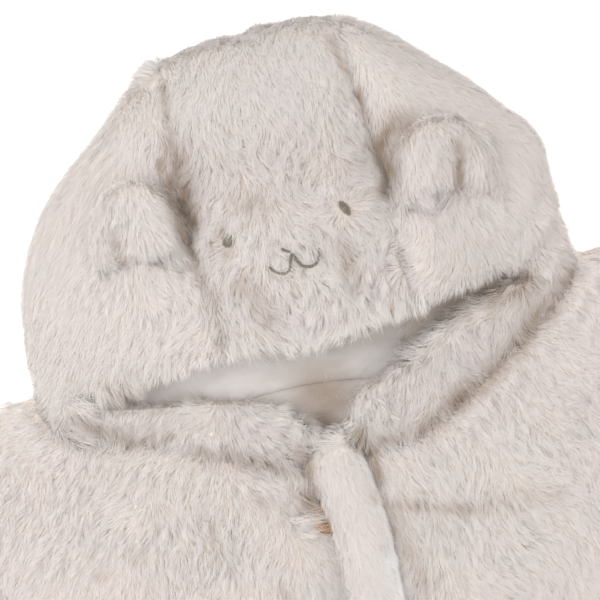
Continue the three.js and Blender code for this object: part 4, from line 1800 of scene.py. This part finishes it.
# Fur that falls over the top button, the ears' seams, the top of the placket, and the lips and the upper left
# corner of the hood. Across, along and reach are in millimetres, the lift is in degrees.
COVERS = [
    Cover(piece, x * MM, y * MM, reach * MM, longer, way, lift)
    for piece, x, y, reach, longer, way, lift in [
        ("front_left", -29.5, -110.0, 11.0, 1.75, (1.0, -0.6), 34),
        ("front_left", -30.5, -120.0, 9.5, 1.7, (1.0, 0.0), 34),
        ("ear_left", -72.0, 38.0, 8.0, 1.8, (0.0, -1.0), 18),
        ("ear_left", -62.0, 39.0, 8.0, 1.8, (0.2, -1.0), 18),
        ("ear_right", 88.0, 35.0, 8.0, 1.8, (-0.2, -1.0), 18),
        ("ear_right", 76.0, 36.0, 8.0, 1.8, (0.1, -1.0), 18),
        ("placket", -2.0, -77.0, 9.0, 1.2, (-1.0, 0.35), 15),
        ("hood_side_left", -24.0, -80.0, 9.0, 1.4, (1.0, -0.4), 15),
        ("hood_side_right", 12.0, -76.0, 8.0, 1.4, (-0.7, -0.8), 15),
        ("hood", -47.0, 140.0, 9.0, 1.35, (-0.5, 0.9), 12),
        ("hood_side_left", -113.0, -19.0, 9.0, 1.6, (0.0, -1.0), 8),
        ("hood_side_left", -98.0, -17.0, 8.0, 1.4, (0.0, -1.0), 8),
        ("hood_side_left", -130.0, -24.0, 9.0, 1.6, (1.0, -0.9), 20),
        ("hood_side_left", -138.0, -36.0, 9.0, 1.5, (1.0, -0.4), 20),
        ("hood_side_right", 56.0, -43.0, 9.0, 1.4, (-1.0, 0.1), 14),
        ("hood_side_right", 70.0, -34.0, 8.0, 1.4, (-1.0, 0.1), 14),
        ("hood_side_right", 84.0, -31.0, 8.0, 1.4, (-1.0, 0.1), 14),
        ("hood_side_right", 98.0, -28.5, 8.0, 1.4, (-1.0, 0.1), 14),
        ("hood_side_right", 112.0, -26.0, 8.0, 1.4, (-1.0, 0.1), 14),
    ]
]

# Painted shade on the linings deep inside the mouth of the hood, and painted light on a stretch by its left
# lip.
LINING_PAINTED_LIGHT = [
    PaintedLightLine(*line_of(x1, y1, x2, y2), reach * MM, depth, (0.50, 0.41, 0.34))
    for x1, y1, x2, y2, reach, depth in [
        (12.0, -28.0, 60.0, -10.0, 14.0, 0.35),
        (-3.0, -52.0, 2.0, -56.0, 18.0, 0.95),
        (-5.0, -66.0, -3.0, -74.0, 13.0, 1.0),
    ]
] + [
    PaintedLightLine(*line_of(-104.0, -24.0, -45.0, -33.0), 13 * MM, 1.0, (1.16, 1.16, 1.16)),
]

PLACKET_CLOSING = 1.2 * MM  # the placket and its binding are sewn closer than the other pieces

LEFT_EAR_FOLD = (Fold(*line_of(-84.0, 62.0, -89.0, 42.0), 5 * MM, 4.5 * MM),)
RIGHT_EAR_FOLD = (Fold(*line_of(100.0, 58.0, 97.0, 38.0), 5 * MM, 4.5 * MM),)

FUR_PANELS = [
    FurPanel("back", UNDER_PILE, Cut(0.760, 0.380, 0.222)),
    FurPanel("hood_back", COVERED_PILE, Cut(0.302, 0.199, 0.047), ("back_cloth",)),
    FurPanel("front_left", BODY_PILE, Cut(0.380, 0.380, 0.108), ("back_cloth",)),
    FurPanel("front_right", BODY_PILE, Cut(0.380, 0.380, 0.108), ("back_cloth",)),
    FurPanel("hood_side_left", HOOD_PILE, Cut(0.155, 0.231, 0.0185), ("hood_back_cloth",)),
    FurPanel("hood_side_right", HOOD_PILE, Cut(0.151, 0.236, 0.0185), ("hood_back_cloth",)),
    FurPanel("hood_centre", CENTRE_PILE, Cut(0.112, 0.200, 0.0215), ("hood_back_cloth",)),
    FurPanel("placket", PLACKET_PILE, Cut(0.034, 0.314, 0.0090), ("front_left_cloth", "front_right_cloth"),
             ground="binding", closing=PLACKET_CLOSING),
    FurPanel("placket_edge", BINDING_PILE, Cut(0.012, 0.314, 0.0032), ("front_right_cloth",),
             ground="binding", slot="binding", closing=PLACKET_CLOSING),
    FurPanel("ear_left", EAR_PILE, Cut(0.060, 0.056, 0.0030), ("hood_side_left_cloth",),
             folds=LEFT_EAR_FOLD),
    FurPanel("ear_right", EAR_PILE, Cut(0.066, 0.056, 0.0033), ("hood_side_right_cloth",),
             folds=RIGHT_EAR_FOLD),
]
LININGS = [
    Lining("hood_lining", Cut(0.280, 0.170, 0.036), (*line_of(66.0, -32.0, 124.0, -18.0), 11 * MM)),
    Lining("neck_lining", Cut(0.135, 0.036, 0.0028)),
]


def stitch_face(cloth: bpy.types.Object, finishes: dict) -> None:
    """Sews the eyes, the nose and the mouth on the hood's middle panel.

    Args:
        cloth: the panel's backing.
        finishes: the materials by name.
    """
    graph = bpy.context.evaluated_depsgraph_get()
    ground = BVHTree.FromObject(cloth, graph)
    eyes = Embroidery(ground)
    for x, y, half, lean in (LEFT_EYE, RIGHT_EYE):
        eyes.satin(x, y, half, lean, EYE_LEVEL, EYE_THREADS)
    eyes.build("eye_stitches", finishes["thread"])
    mouth = Embroidery(ground, radius=MOUTH_THREAD)
    for knots in (MOUTH, NOSE):
        mouth.line([(x * MM, y * MM) for x, y in knots], MOUTH_STITCH, MOUTH_LEVEL)
    mouth.build("mouth_stitches", finishes["thread"])


def main() -> None:
    """Builds the setting, then the garment from the surface up."""
    logging.basicConfig(level=logging.INFO, format="%(name)s %(message)s")
    finishes = {
        "pile": FurFinish().make(),
        "backing": BackingFinish().make(),
        "plush": PlushFinish().make(),
        "binding": PlushFinish("white_binding", (0.95, 0.95, 0.955), (0.90, 0.90, 0.91)).make(),
        "thread": ThreadFinish().make(),
        "wood": WoodFinish().make(),
        "surface": SurfaceFinish().make(),
    }
    Studio().build(finishes)
    near = Neighbours()
    grower = FurGrower(brushes=BRUSHES, partings=PARTINGS, painted_light=PAINTED_LIGHT_LINES, covers=COVERS)
    cloths = {panel.node: panel.build(grower, near, finishes) for panel in FUR_PANELS}
    for lining in LININGS:
        lining.build(grower, finishes)
    stitch_face(cloths["hood_centre"], finishes)
    for name in ("button_top", "button_middle", "button_low"):
        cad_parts[name].data.materials.clear()
        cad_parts[name].data.materials.append(finishes["wood"])
        log.info("%s: %s", name, finishes["wood"].name)


if __name__ == "__main__":
    main()
